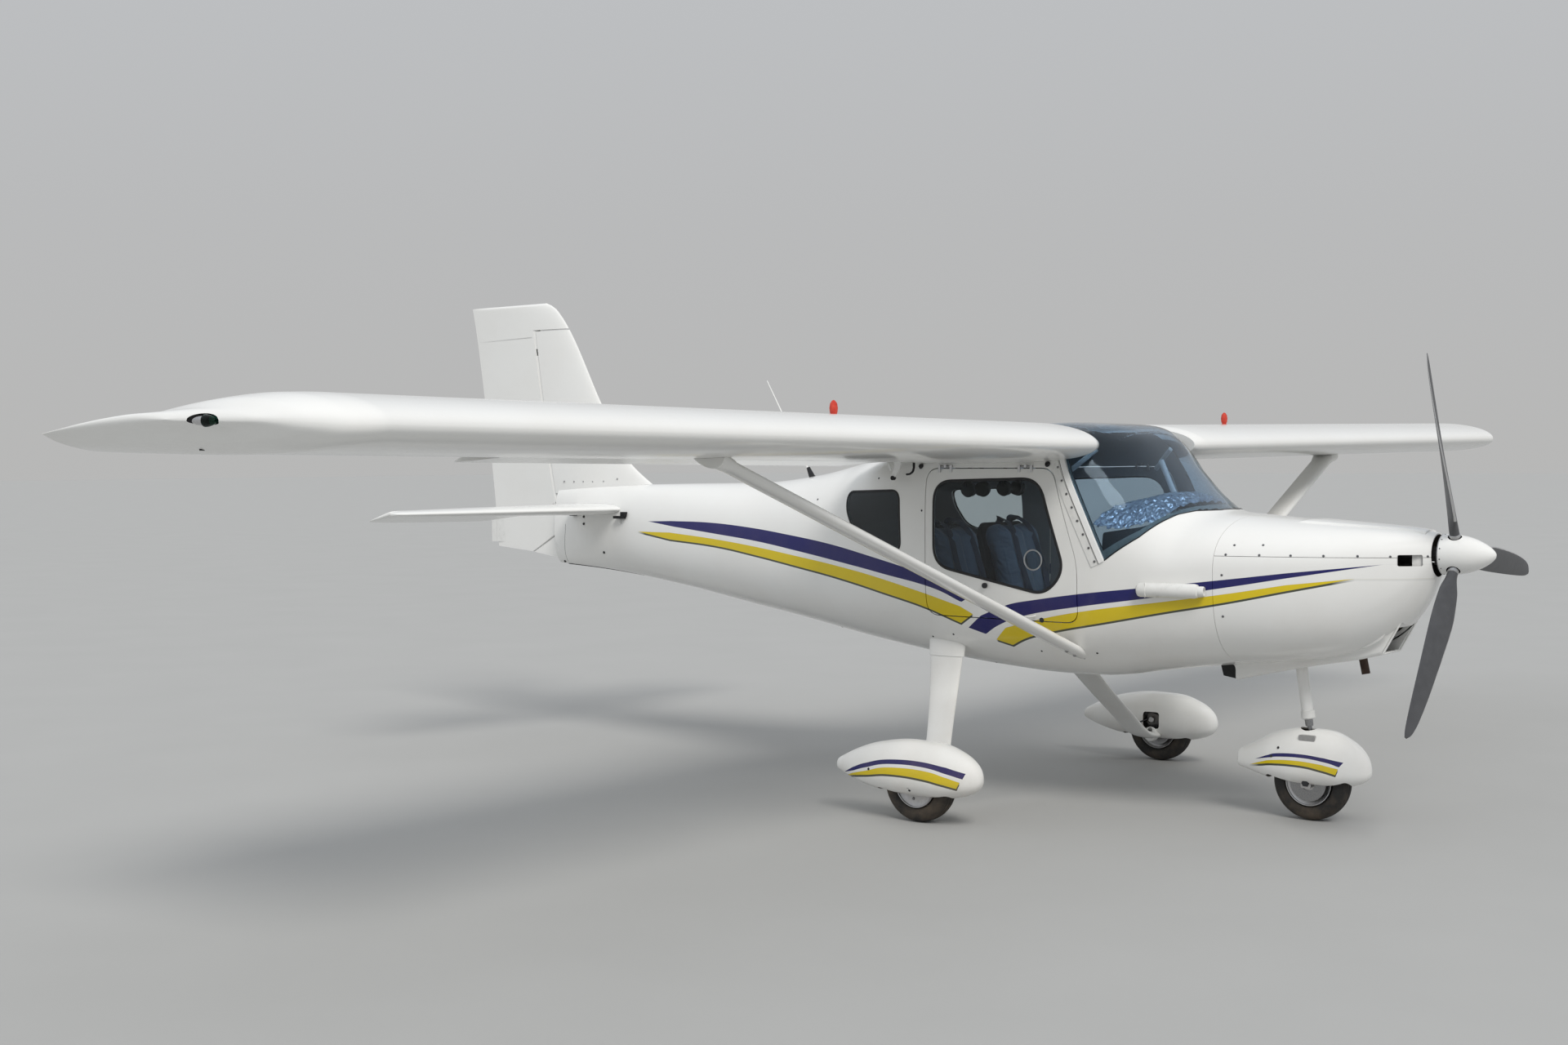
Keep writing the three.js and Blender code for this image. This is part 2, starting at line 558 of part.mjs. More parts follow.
// Blade sections: radius, chord, thickness, twist in degrees from the plane of rotation, sweep of the chord
const BLADE = [
  [40, 40, 40, 45, 0],
  [100, 42, 38, 42, 0],
  [180, 84, 26, 36, 4],
  [330, 112, 18, 28, 10],
  [560, 100, 13, 20, 8],
  [740, 76, 9, 16, 2],
  [820, 48, 6, 14, -6],
  [PROP_RADIUS, 14, 3, 14, -14],
];
const BLADE_SIDES = 10;
function bladeSolid(angle) {
  const turn = THREE.MathUtils.degToRad(angle);
  const out = [Math.cos(turn), Math.sin(turn)];
  const across = [-Math.sin(turn), Math.cos(turn)];
  return loft(BLADE.map(([radius, chord, thick, twist, sweep]) => {
    const pitch = THREE.MathUtils.degToRad(twist);
    return Array.from({ length: BLADE_SIDES }, (_, k) => {
      const around = (2 * Math.PI * k) / BLADE_SIDES;
      const c = (chord / 2) * Math.cos(around) + sweep;
      const t = (thick / 2) * Math.sin(around);
      const inPlane = c * Math.cos(pitch) + t * Math.sin(pitch);
      const fore = c * Math.sin(pitch) - t * Math.cos(pitch);
      return [PROP_X + fore, out[0] * radius + across[0] * inPlane,
        PROP_Z + out[1] * radius + across[1] * inPlane];
    });
  }));
}
function propeller() {
  const plate = turnX([[SPINNER_BASE_X, 0], [SPINNER_BASE_X, SPINNER_RADIUS],
    [SPINNER_BASE_X + 4.7, SPINNER_RADIUS], [SPINNER_BASE_X + 4.7, 0]], PROP_Z);
  const hub = turnX([[SPINNER_BASE_X, 0], [SPINNER_BASE_X, 48], [1912, 48], [1918, 40], [1918, 0]], PROP_Z);
  return join(plate, hub, ...BLADE_ANGLES.map(bladeSolid));
}
function bladeRoom(angle) {
  const turn = THREE.MathUtils.degToRad(angle);
  const at = (radius) => [PROP_X, radius * Math.cos(turn), PROP_Z + radius * Math.sin(turn)];
  return rod(at(30), at(120), 27, 27, 8);
}
add('propeller', propeller(), CARBON);
add('spinner', cut(turnX(SPINNER, PROP_Z), ...BLADE_ANGLES.map(bladeRoom)), WHITE);

// Vertical tail: z, leading edge x, trailing edge x, thickness
const RUDDER_HINGE = { top: [-3440.7, 0, 2267], bottom: [-3233.4, 0, 1018] };
const VERTICAL_TAIL = [
  [985, -2900, -3772, 40],
  [1340, -2440, -3808, 62],
  [1400, -2545, -3816, 64],
  [1515, -2705, -3830, 66],
  [1830, -2914, -3878, 60],
  [2270, -3174, -3952, 48],
  [2348, -3238, -3968, 44],
  [2395, -3290, -3979, 40],
  [2421, -3350, RUDDER_END_X, 36],
];
const HORN_Z = 2270;
const tailSolid = (thinner) => loft(VERTICAL_TAIL.map(([z, lead, trail, thick]) => {
  const chord = lead - trail - 2 * thinner;
  return aerofoil((thick - thinner) / chord, false).map(([aft, up]) =>
    [lead - thinner - aft * chord, up * chord, z]);
}));
const tailBlank = tailSolid(0);
const tailInside = tailSolid(TAIL_THINNER);
const rudderLine = hingeLine({ from: RUDDER_HINGE.bottom, to: RUDDER_HINGE.top, aft: [-0.986, 0, -0.1637],
  nose: 24, lip: 0.85, height: 60, depth: 800, arms: [0.2, 0.55, 0.9], hollow: [114, 4, 320] });
const RUDDER_FOOT = [[-3900, 1036], [-3471, 1003], [-3252, 1118], [-3100, 1118], [-3100, 900], [-3900, 900]];
const horn = sidePrism([[-3470, HORN_Z], [-3100, HORN_Z], [-3100, 2460], [-3470, 2460]], -80, 80);
const rudderHead = sidePrism([[-3440, HORN_Z - 6], [-4050, HORN_Z - 120], [-4050, 2460],
  [-3440, 2460]], -80, 80);
const rudder = cut(tailBlank.intersect(join(rudderLine.moving, horn, rudderHead)),
  sidePrism(RUDDER_FOOT, -80, 80), ...rudderLine.notches, tailInside.intersect(rudderLine.inside));
add('rudder', rudder, WHITE);
const finTop = box(-4100, -3000, -80, 80, HORN_Z - 8, 2500);
const finFoot = box(-3400, -2300, -80, 80, 900, 1340);
const finInside = tailInside.intersect(sidePrism(
  [[-3224, 1200], [-3399, 2250], [-3100, 2250], [-2400, 1200]], -80, 80));
const fin = cut(tailBlank, rudderLine.room, rudderHead, finTop, skinFit, finFoot, finInside);
const upperCarriers = rudderLine.carriers.slice(1);
add('fin', join(fin, ...upperCarriers), WHITE);

// Tailplane: y, leading edge x, trailing edge x, thickness
const TAILPLANE_Z = 1256;
const ELEVATOR_X = -3066;
const ELEVATOR_DROOP = 14;
const TAILPLANE = [
  [0, -2615, -3352, 62],
  [1250, -2925, -3270, 34],
  [1340, -2955, -3250, 28],
  [1385, -2990, -3225, 18],
];
const farRows = TAILPLANE.slice(1).reverse().map((row) => [-row[0], ...row.slice(1)]);
const tailplaneRows = [...farRows, ...TAILPLANE];
const tailplaneBlank = (extra) => loft(tailplaneRows.map(([y, lead, trail, thick]) => {
  const chord = lead - trail + 2 * extra;
  return aerofoil((thick + 2 * extra) / chord, false).map(([aft, up]) =>
    [lead + extra - aft * chord, y, TAILPLANE_Z + up * chord]);
}));
const elevatorLine = hingeLine({ from: [ELEVATOR_X, -1400, TAILPLANE_Z], to: [ELEVATOR_X, 1400, TAILPLANE_Z],
  aft: [-1, 0, 0], nose: 17, lip: 0.95, height: 50, depth: 500, arms: [0.12, 0.3, 0.7, 0.88] });
const planform = tailplaneBlank(0);
const planformInside = tailplaneBlank(-TAIL_THINNER / 2);
const cutOut = planPrism([[-3000, -405], [-3128, -425], [-3400, -585], [-3400, 585], [-3128, 425],
  [-3000, 405]], 1100, 1400);
const torqueTube = rod([ELEVATOR_X, -430, TAILPLANE_Z], [ELEVATOR_X, 430, TAILPLANE_Z], 12);
function drooped(solid) {
  const geometry = geometryOf(solid);
  geometry.translate(-ELEVATOR_X, 0, -TAILPLANE_Z);
  geometry.rotateY(THREE.MathUtils.degToRad(-ELEVATOR_DROOP));
  return solidOf(geometry.translate(ELEVATOR_X, 0, TAILPLANE_Z));
}
const elevatorInside = SIDES.map(([, s]) => planformInside.intersect(
  box(ELEVATOR_X - 130, ELEVATOR_X - HOLLOW_FROM, s * 600, s * 1330, 1200, 1320)));
const elevator = cut(planform.intersect(elevatorLine.moving), cutOut, ...elevatorLine.notches,
  ...elevatorInside);
add('elevator', drooped(join(elevator, torqueTube)), WHITE);
const centreSlot = box(ELEVATOR_X - 400, ELEVATOR_X - 10, -480, 480, 1200, 1320);
const stabilizerSpar = ELEVATOR_X + 17 + RUN + 6;
const stabilizerInside = planformInside.intersect(box(stabilizerSpar, -2600, -1320, 1320, 1200, 1320));
const stabilizerHatch = box(-2860, -2800, -50, 50, 1200, TAILPLANE_Z);
const stabilizer = cut(planform, elevatorLine.room, centreSlot, stabilizerInside, stabilizerHatch);
add('stabilizer', join(stabilizer, ...elevatorLine.carriers), WHITE);

const tubeRoom = rod([ELEVATOR_X, -430, TAILPLANE_Z], [ELEVATOR_X, 430, TAILPLANE_Z], 12 + RUN);
// The fixed tip behind the tail cone, under the slanted foot of the rudder
const CONE_TIP = [[-3200, 1098], [-3266, 1098], [-3450, 1001], [-3262, 974], [-3200, 974]];
let tailCone = skin.intersect(box(-3300, BULKHEAD_X - FIT, -600, 600, 0, 2000));
const coneInside = fuselage(CONE_SKIN).intersect(box(-3150, BULKHEAD_X, -600, 600, 0, 2000));
tailCone = cut(tailCone, rudderLine.room, tailplaneBlank(FIT), tubeRoom, coneInside);
add('tail_cone', join(tailCone, rudderLine.carriers[0], sidePrism(CONE_TIP, -22, 22)), WHITE);

// Wings with their flaps and ailerons
const FLAP_HINGE = { x: -512, root: 1532, nose: 37 };
const FLAP_SPAN = [610, 2900];
const AILERON_SPAN = [2912, 4190];
const FLAP_DROOP = 5;
const FLAP_ARMS = [0.04, 0.5, 0.96];
const AILERON_ARMS = [0.1, 0.9];
function wingLine(s, [inner, outer], arms, lip) {
  const z = (y) => FLAP_HINGE.root + DIHEDRAL * (y - WING_ROOT);
  return hingeLine({ from: [FLAP_HINGE.x, s * inner, z(inner)], to: [FLAP_HINGE.x, s * outer, z(outer)],
    aft: [-1, 0, 0], nose: FLAP_HINGE.nose, lip, height: 90, depth: 400, arms, hollow: [5, 5, 135] });
}
function turnedAbout(solid, [x, y, z], axis, degrees) {
  const geometry = geometryOf(solid).translate(-x, -y, -z);
  geometry.applyMatrix4(new THREE.Matrix4().makeRotationAxis(axis, THREE.MathUtils.degToRad(degrees)));
  return solidOf(geometry.translate(x, y, z));
}
// Wing struts
const STRUT_LOW = [408, 425, 678];
const STRUT_HIGH = [203, 2570, 1530];
const STRUT_CHORD = 101;
function strut(s) {
  const [lx, ly, lz] = STRUT_LOW;
  const [hx, hy, hz] = STRUT_HIGH;
  const rise = (hz - lz) / Math.hypot(hy - ly, hz - lz);
  const run = (hy - ly) / Math.hypot(hy - ly, hz - lz);
  const ring = ([x, y, z]) => aerofoil(0.36, false).map(([aft, up]) =>
    [x + (0.4 - aft) * STRUT_CHORD, s * (y - rise * up * STRUT_CHORD), z + run * up * STRUT_CHORD]);
  return cut(loft([ring(STRUT_LOW), ring(STRUT_HIGH)]), skinFit, wingBlank(s, FIT));
}

for (const [name, s] of SIDES) {
  const blank = wingBlank(s);
  const flapLine = wingLine(s, FLAP_SPAN, FLAP_ARMS, 0.55);
  const aileronLine = wingLine(s, AILERON_SPAN, AILERON_ARMS, 0.72);
  const wingInside = wingBlank(s, 0, WING_THINNER).intersect(
    box(WING_SPAR_X, 600, s * 400, s * WING_RIB_Y, 1400, 1800));
  const flapInside = wingBlank(s, 0, FLAP_THINNER);
  const wing = join(cut(blank, skinFit, flapLine.room, aileronLine.room, wingInside),
    ...flapLine.carriers, ...aileronLine.carriers);
  add(`${name}_wing`, wing, WHITE);
  const flap = cut(blank.intersect(flapLine.moving), ...flapLine.notches,
    flapInside.intersect(flapLine.inside));
  const flapAxis = new THREE.Vector3(0, s, DIHEDRAL).normalize();
  const flapAt = [FLAP_HINGE.x, s * FLAP_SPAN[0], FLAP_HINGE.root + DIHEDRAL * (FLAP_SPAN[0] - WING_ROOT)];
  add(`${name}_flap`, turnedAbout(flap, flapAt, flapAxis, -s * FLAP_DROOP), WHITE);
  add(`${name}_aileron`, cut(blank.intersect(aileronLine.moving), ...aileronLine.notches,
    flapInside.intersect(aileronLine.inside)), WHITE);
  add(`${name}_strut`, strut(s), WHITE);
}

// Inside the cabin
const SEAT = [[-470, 540], [140, 540], [140, 790], [-200, 750], [-350, 1310], [-420, 1330], [-470, 1300]];
const inCabin = (solid) => solid.intersect(cabinFit);
for (const [name, s] of SIDES) {
  add(`${name}_seat`, inCabin(sidePrism(SEAT, s * 60, s * 470, 30)), CLOTH);
  add(`${name}_control_stick`, inCabin(rod([300, s * 235, 540], [285, s * 235, 900], 13)), DARK);
}
add('center_console', inCabin(box(165, 545, -60, 60, 540, 800)), DARK);
const PANEL = [[560, 900], [575, 1085], [880, 1250], [900, 1235], [640, 1075], [620, 900]];
add('instrument_panel', inCabin(sidePrism(PANEL, -520, 520)), DARK);

// Small fittings on the skin
const SCOOP_FROM = [735, -527, 975];
const SCOOP_TO = [1018, -478, 975];
add('side_scoop', cut(rod(SCOOP_FROM, SCOOP_TO, 30), skinFit,
  rod([980, -484.5, 975], [1030, -476, 975], 22)), WHITE);
const ANTENNA_FOOT = [-1397, 0, 1400];
const ANTENNA_TIP = [-1712, 0, 1932];
add('whip_antenna', cut(join(rod(ANTENNA_FOOT, ANTENNA_TIP, 8, 2.5, 12),
  rod(ANTENNA_FOOT, [-1440, 0, 1480], 30, 8, 16)), skinFit), WHITE);

group.position.x = ORIGIN_SHIFT;
export default group;
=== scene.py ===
# %% [markdown]
# A two-seat high-wing light aircraft, parked on its three wheels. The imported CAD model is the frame:
# it says where each body is and how it moves. Every piece below is modelled again as a smooth, dense
# surface at the same place, from the same section tables, because faceted solids never look like
# polished gelcoat. Tables are in millimetres from the main axle, x forward, y left, z up.

# %% Load the frame
import math

import bmesh
import bpy
import numpy as np
from mathutils import Matrix, Vector
from mathutils.bvhtree import BVHTree


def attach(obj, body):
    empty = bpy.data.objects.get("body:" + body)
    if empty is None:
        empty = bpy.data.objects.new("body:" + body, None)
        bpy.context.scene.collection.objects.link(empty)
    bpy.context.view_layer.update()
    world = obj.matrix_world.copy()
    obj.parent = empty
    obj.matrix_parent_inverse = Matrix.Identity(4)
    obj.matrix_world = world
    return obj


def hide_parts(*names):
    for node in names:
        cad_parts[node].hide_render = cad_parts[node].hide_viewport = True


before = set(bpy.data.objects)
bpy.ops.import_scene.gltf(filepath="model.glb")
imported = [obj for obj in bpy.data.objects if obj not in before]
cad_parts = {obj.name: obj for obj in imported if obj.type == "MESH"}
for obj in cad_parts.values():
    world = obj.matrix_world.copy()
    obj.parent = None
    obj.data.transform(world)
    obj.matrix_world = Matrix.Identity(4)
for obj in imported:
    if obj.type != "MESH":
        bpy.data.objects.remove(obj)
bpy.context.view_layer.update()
SCENE = bpy.context.scene
SHIFT = 976.0
SIDES = (("left", 1), ("right", -1))

# %% [markdown]
# Helpers. Blender counts in metres and the tables in millimetres, so one function does the change.
# A loft joins rings of points, which suits hulls, wings and blades. A Boolean with the Manifold solver
# cuts doors and windows out of it, and the cutter's own material stays on the cut faces, so the
# thickness of a wall can be lined in one go.

# %% Places and meshes
def metres(points):
    """Millimetres from the main axle, as metres in the frame."""
    return (np.asarray(points, float).reshape(-1, 3) + (SHIFT, 0, 0)) / 1000


def unit(direction):
    """The same direction, one long."""
    return np.asarray(direction, float) / np.linalg.norm(direction)


def circle(count):
    """Angles spread evenly round a circle."""
    return np.linspace(0, 2 * math.pi, count, endpoint=False)


def new_object(name, data):
    obj = bpy.data.objects.new(name, data)
    SCENE.collection.objects.link(obj)
    return obj


def new_mesh(name, points, faces, *materials):
    mesh = bpy.data.meshes.new(name)
    mesh.from_pydata(points, [], faces)
    for material in materials:
        mesh.materials.append(material)
    return mesh


def face_outwards(mesh):
    """Turn the faces round if the volume they enclose comes out negative."""
    shape = bmesh.new()
    shape.from_mesh(mesh)
    if shape.calc_volume(signed=True) < 0:
        mesh.flip_normals()
    shape.free()


def solid(name, points, faces, material=None):
    """A closed mesh whose faces point outwards."""
    mesh = new_mesh(name, metres(points).tolist(), faces, *([material] if material else []))
    face_outwards(mesh)
    return new_object(name, mesh)


def join(name, *objs):
    """Several meshes as one, each keeping its own materials."""
    slots, points, faces, indices = [], [], [], []
    for obj in objs:
        start = len(points)
        points += [tuple(v.co) for v in obj.data.vertices]
        slots += [material for material in obj.data.materials if material not in slots]
        places = [slots.index(material) for material in obj.data.materials]
        for face in obj.data.polygons:
            faces.append([start + v for v in face.vertices])
            indices.append(places[face.material_index] if places else 0)
        bpy.data.objects.remove(obj)
    mesh = new_mesh(name, points, faces, *slots)
    mesh.polygons.foreach_set("material_index", indices)
    return new_object(name, mesh)


def baked(obj):
    """The object with its modifiers worked into a plain mesh."""
    view = bpy.context.evaluated_depsgraph_get()
    view.update()
    mesh = bpy.data.meshes.new_from_object(obj.evaluated_get(view))
    obj.modifiers.clear()
    obj.data = mesh
    return obj


def boolean(obj, operation, *tools):
    """Cut, keep or join with each tool, then remove the tools."""
    for tool in tools:
        modifier = obj.modifiers.new("boolean", "BOOLEAN")
        modifier.operation, modifier.object = operation, tool
        modifier.solver, modifier.material_mode = "MANIFOLD", "TRANSFER"
    baked(obj)
    for tool in tools:
        bpy.data.objects.remove(tool)
    if not obj.data.polygons:
        raise RuntimeError(f"{obj.name} lost its faces in a {operation.lower()}")
    return obj


def cut(obj, *tools):
    return boolean(obj, "DIFFERENCE", *tools)


def keep(obj, *tools):
    return boolean(obj, "INTERSECT", *tools)


def copied(obj, name):
    return new_object(name, obj.data.copy())


SLOT_OF = {}


def finish(obj, *nodes, body="airframe", slot=None, degrees=32):
    """Shade a finished piece, and say what it rides on and what CAD nodes it stands for; slot, its finish,
    is not used.
    """
    obj.data.shade_smooth()
    obj.data.set_sharp_from_angle(angle=math.radians(degrees))
    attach(obj, body)
    if nodes:
        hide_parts(*nodes)
    faces = sum(len(face.vertices) - 2 for face in obj.data.polygons)
    print(f"{obj.name}: {faces} triangles on {body}")
    return obj


# %% Outlines, prisms and lofts
def loft(rings):
    """Points and faces of a skin through rings of equal count, closed at both ends."""
    rings = np.asarray(rings, float)
    rows, count = rings.shape[:2]
    first = np.arange(rows - 1)[:, None] * count
    here = first + np.arange(count)
    then = first + (np.arange(count) + 1) % count
    faces = np.stack([here, then, then + count, here + count], -1).reshape(-1, 4).tolist()
    faces.append(list(range(count))[::-1])
    faces.append(list(range((rows - 1) * count, rows * count)))
    return rings.reshape(-1, 3), faces


def rounded(points, radius, steps=8):
    """A closed outline whose corners are rounded, as flat points."""
    corners = np.asarray(points, float)
    made = []
    for i, here in enumerate(corners):
        before, after = corners[i - 1] - here, corners[(i + 1) % len(corners)] - here
        reach = min(radius, np.linalg.norm(before) * 0.48, np.linalg.norm(after) * 0.48)
        enter = here + before / np.linalg.norm(before) * reach
        leave = here + after / np.linalg.norm(after) * reach
        for t in np.linspace(0, 1, steps if radius else 1):
            made.append((1 - t) ** 2 * enter + 2 * t * (1 - t) * here + t * t * leave)
    return np.array(made)

def in_side_view(x, z, y):
    return x, y, z


def from_above(x, y, z):
    return x, y, z


def prism(points, near, far, radius=0, material=None, name="tool", place=in_side_view):
    """A flat outline made solid: place turns its two numbers and a depth into a point."""
    flat = rounded(points, radius) if radius else points
    return solid(name, *loft([[place(u, v, depth) for u, v in flat] for depth in (near, far)]), material)


def block(x0, x1, y0, y1, z0, z1, material=None):
    return prism([(x0, z0), (x1, z0), (x1, z1), (x0, z1)], y0, y1, 0, material)


def basis_along(axis):
    """An axis and two directions square to it."""
    axis = unit(axis)
    side = np.cross((0, 0, 1), axis)
    if np.linalg.norm(side) < 1e-6:
        side = np.cross((1, 0, 0), axis)
    side = unit(side)
    return axis, side, np.cross(axis, side)


def turned(profile, start, axis, material=None, name="tool", sides=48):
    """A profile of (distance, radius) turned round an axis; a profile that ends at radius 0 is a dome."""
    axis, side, up = basis_along(axis)
    rings = [[start + axis * along + max(radius, 0.01) * (side * math.cos(a) + up * math.sin(a))
              for a in circle(sides)] for along, radius in profile]
    return solid(name, *loft(rings), material)


def rod(start, end, radius, end_radius=None, material=None, name="tool", sides=32):
    length = np.linalg.norm(np.subtract(end, start))
    return turned([(0, radius), (length, end_radius or radius)], start, np.subtract(end, start), material,
                  name, sides)


def swept(path, radius, material, name="line", sides=14, flat=1.0, closed=False, lift=(0, 0, 1)):
    """A tube or, where flat is under 1, a strap along a path of points, its flat side towards lift."""
    path = np.asarray(path, float)
    ahead = np.roll(path, -1, 0) - path
    if not closed:
        ahead[-1] = ahead[-2]
    ahead /= np.linalg.norm(ahead, axis=1)[:, None]
    behind = np.roll(ahead, 1, 0)
    if not closed:
        behind[0] = ahead[0]
    rings = []
    for point, tangent, above in zip(path, ahead + behind, np.broadcast_to(lift, path.shape)):
        tangent = unit(tangent)
        side = np.cross(tangent, above)
        if np.linalg.norm(side) < 1e-3:
            side = np.cross(tangent, (0, 1, 0.01))
        side = unit(side)
        over = np.cross(side, tangent)
        rings.append([point + radius * (side * math.cos(a) + flat * over * math.sin(a))
                      for a in circle(sides)])
    if not closed:
        return solid(name, *loft(rings), material)
    points, faces = loft([*rings, rings[0]])
    count = len(rings) * sides
    faces = [[index % count for index in face] for face in faces[:-2]]
    return solid(name, points[:count], faces, material)


def monotone(at, table):
    """Rows of a table between its own rows, on smooth curves that never overshoot."""
    table = np.asarray(table, float)
    order = np.argsort(table[:, 0])
    x, y = table[order, 0], table[order, 1:]
    step = np.diff(x)[:, None]
    slope = np.diff(y, axis=0) / step
    tangent = np.vstack([slope[:1], np.zeros_like(y[2:]), slope[-1:]])
    first, second = 2 * step[1:] + step[:-1], step[1:] + 2 * step[:-1]
    with np.errstate(divide="ignore", invalid="ignore"):
        mean = (first + second) / (first / slope[:-1] + second / slope[1:])
    tangent[1:-1] = np.where(slope[:-1] * slope[1:] > 0, mean, 0)
    at = np.clip(np.asarray(at, float), x[0], x[-1])
    i = np.clip(np.searchsorted(x, at) - 1, 0, len(x) - 2)
    h = step[i]
    t = ((at - x[i])[:, None]) / h
    rows = ((1 + 2 * t) * (1 - t) ** 2 * y[i] + t * (1 - t) ** 2 * h * tangent[i]
            + t * t * (3 - 2 * t) * y[i + 1] + t * t * (t - 1) * h * tangent[i + 1])
    return np.column_stack([at, rows])


def superellipse(half, below, above, square_low, square_high, count):
    """A section with its points spread evenly, from the bottom round by +y, as (y, z) pairs."""
    angles = np.linspace(-math.pi / 2, 1.5 * math.pi, 1441)
    sine, cosine = np.sin(angles), np.cos(angles)
    square = np.where(sine < 0, square_low, square_high)
    y = half * np.sign(cosine) * np.abs(cosine) ** (2 / square)
    z = np.where(sine < 0, below, above) * np.sign(sine) * np.abs(sine) ** (2 / square)
    run = np.concatenate([[0], np.cumsum(np.hypot(np.diff(y), np.diff(z)))])
    even = np.linspace(0, run[-1], count + 1)[:-1]
    return np.column_stack([np.interp(even, run, y), np.interp(even, run, z)])


# %% [markdown]
# Node trees are short to write when a node's output can be added, multiplied and compared, each of
# which makes a Math node. One function makes a node, sets its options, and fills or links its inputs.
# Groups get named inputs and outputs, so an effect such as dust is built once.

# %% Node helpers
class Signal:
    """One output of a node, ready for sums."""

    def __init__(self, socket):
        self.socket = socket
        self.tree = socket.id_data

    def __add__(self, other):
        return maths("ADD", self, other)

    def __sub__(self, other):
        return maths("SUBTRACT", self, other)

    def __mul__(self, other):
        return maths("MULTIPLY", self, other)

    def __gt__(self, other):
        return maths("GREATER_THAN", self, other)

    def __lt__(self, other):
        return maths("LESS_THAN", self, other)


def fill(sockets, values):
    """Link each value to the input of that name, or write it there."""
    for key, value in values.items():
        if isinstance(value, Signal):
            value.tree.links.new(value.socket, sockets[key])
        else:
            sockets[key].default_value = value


def put(tree, kind, inputs=None, out=0, **options):
    """A new node with its options and inputs; one of its outputs comes back."""
    node = tree.nodes.new(kind)
    for name, value in options.items():
        setattr(node, name, value)
    fill(node.inputs, inputs or {})
    return Signal(node.outputs[out])


def maths(operation, first, *others, clamp=False):
    return put(first.tree, "ShaderNodeMath", dict(enumerate((first, *others))), operation=operation,
               use_clamp=clamp)


def clouds(place, scale, detail, **more):
    """Soft noise."""
    return put(place.tree, "ShaderNodeTexNoise", {"Vector": place, "Scale": scale, "Detail": detail, **more})


def between(value, low, high, to_low=0.0, to_high=1.0):
    """Runs from one number to another while a value runs from low to high."""
    return put(value.tree, "ShaderNodeMapRange", {"Value": value, "From Min": low, "From Max": high,
                                                  "To Min": to_low, "To Max": to_high})


def xyz(place):
    first = put(place.tree, "ShaderNodeSeparateXYZ", {0: place})
    return [Signal(socket) for socket in first.socket.node.outputs]


def new_group(name, kind, inputs, outputs):
    """A group with named sockets, each input a plain number or a kind of socket."""
    tree = bpy.data.node_groups.new(name, kind)
    for label, value in inputs.items():
        sort = value if isinstance(value, str) else "Float"
        made = tree.interface.new_socket(label, in_out="INPUT", socket_type="NodeSocket" + sort)
        if sort == "Float":
            made.default_value = value
    for label in outputs:
        sort = "Geometry" if label == "Geometry" else "Float"
        tree.interface.new_socket(label, in_out="OUTPUT", socket_type="NodeSocket" + sort)
    given = {socket.name: Signal(socket) for socket in tree.nodes.new("NodeGroupInput").outputs}
    return tree, given, tree.nodes.new("NodeGroupOutput").inputs


def use(group, place, **values):
    """A shader group placed in a material: its outputs by name."""
    node = place.tree.nodes.new("ShaderNodeGroup")
    node.node_tree = group
    fill(node.inputs, {"Position": place, **values})
    return {socket.name: Signal(socket) for socket in node.outputs}


def new_material(name, slot):
    material = bpy.data.materials.new(name)
    material.use_nodes = True
    SLOT_OF[material.name] = slot
    tree = material.node_tree
    return material, tree.nodes["Principled BSDF"].inputs, put(tree, "ShaderNodeTexCoord", out="Object")


def mix(amount, one, other):
    one, other = (colour if isinstance(colour, Signal) else (*colour, 1) for colour in (one, other))
    return put(amount.tree, "ShaderNodeMix", {0: amount, 6: one, 7: other}, 2, data_type="RGBA",
               clamp_factor=True)


def bump(shader, height, distance, strength=1.0):
    fill(shader, {"Normal": put(height.tree, "ShaderNodeBump",
                                {"Height": height, "Distance": distance, "Strength": strength})})


# %% [markdown]
# Weathering is one shader group for every outside finish: soft blotches of dust that gather low on the
# airframe, fine specks, and the faint ripple of sprayed gelcoat. It gives a dirt mask, a roughness and
# a height, which each material uses with its own strength.

# %% Weathering group
def weathering_group():
    tree, given, out = new_group(
        "Weathering", "ShaderNodeTree",
        {"Position": "Vector", "Size": 3.0, "Dust": 0.3, "Gloss": 0.2, "Low": 0.2, "High": 1.1},
        ("Dirt", "Roughness", "Height"))
    place = given["Position"]
    blotch = clouds(place, given["Size"], 6.0, Roughness=0.62)
    low = between(xyz(place)[2], given["High"], given["Low"], 0.25)
    dirt = between(clouds(place, 160.0, 2.0), 0.62, 0.8) * 0.35 + between(blotch, 0.42, 0.78)
    dirt = maths("MULTIPLY", dirt * low, given["Dust"], clamp=True)
    fill(out, {"Dirt": dirt, "Height": clouds(place, 420.0, 1.0) * 0.25 + blotch * 0.6,
               "Roughness": maths("MULTIPLY_ADD", dirt, 0.45, given["Gloss"], clamp=True)})
    return tree


WEATHERING = weathering_group()

# %% [markdown]
# The painted bands are swooshes, each with an upper and a lower edge. A decal needs a UV map and an
# image. Here two Float Curves per band give the height of its edges along the length, and the mask is
# simply where a point lies between them, so the paint runs on over door and cowling joints, sharp at
# any distance.

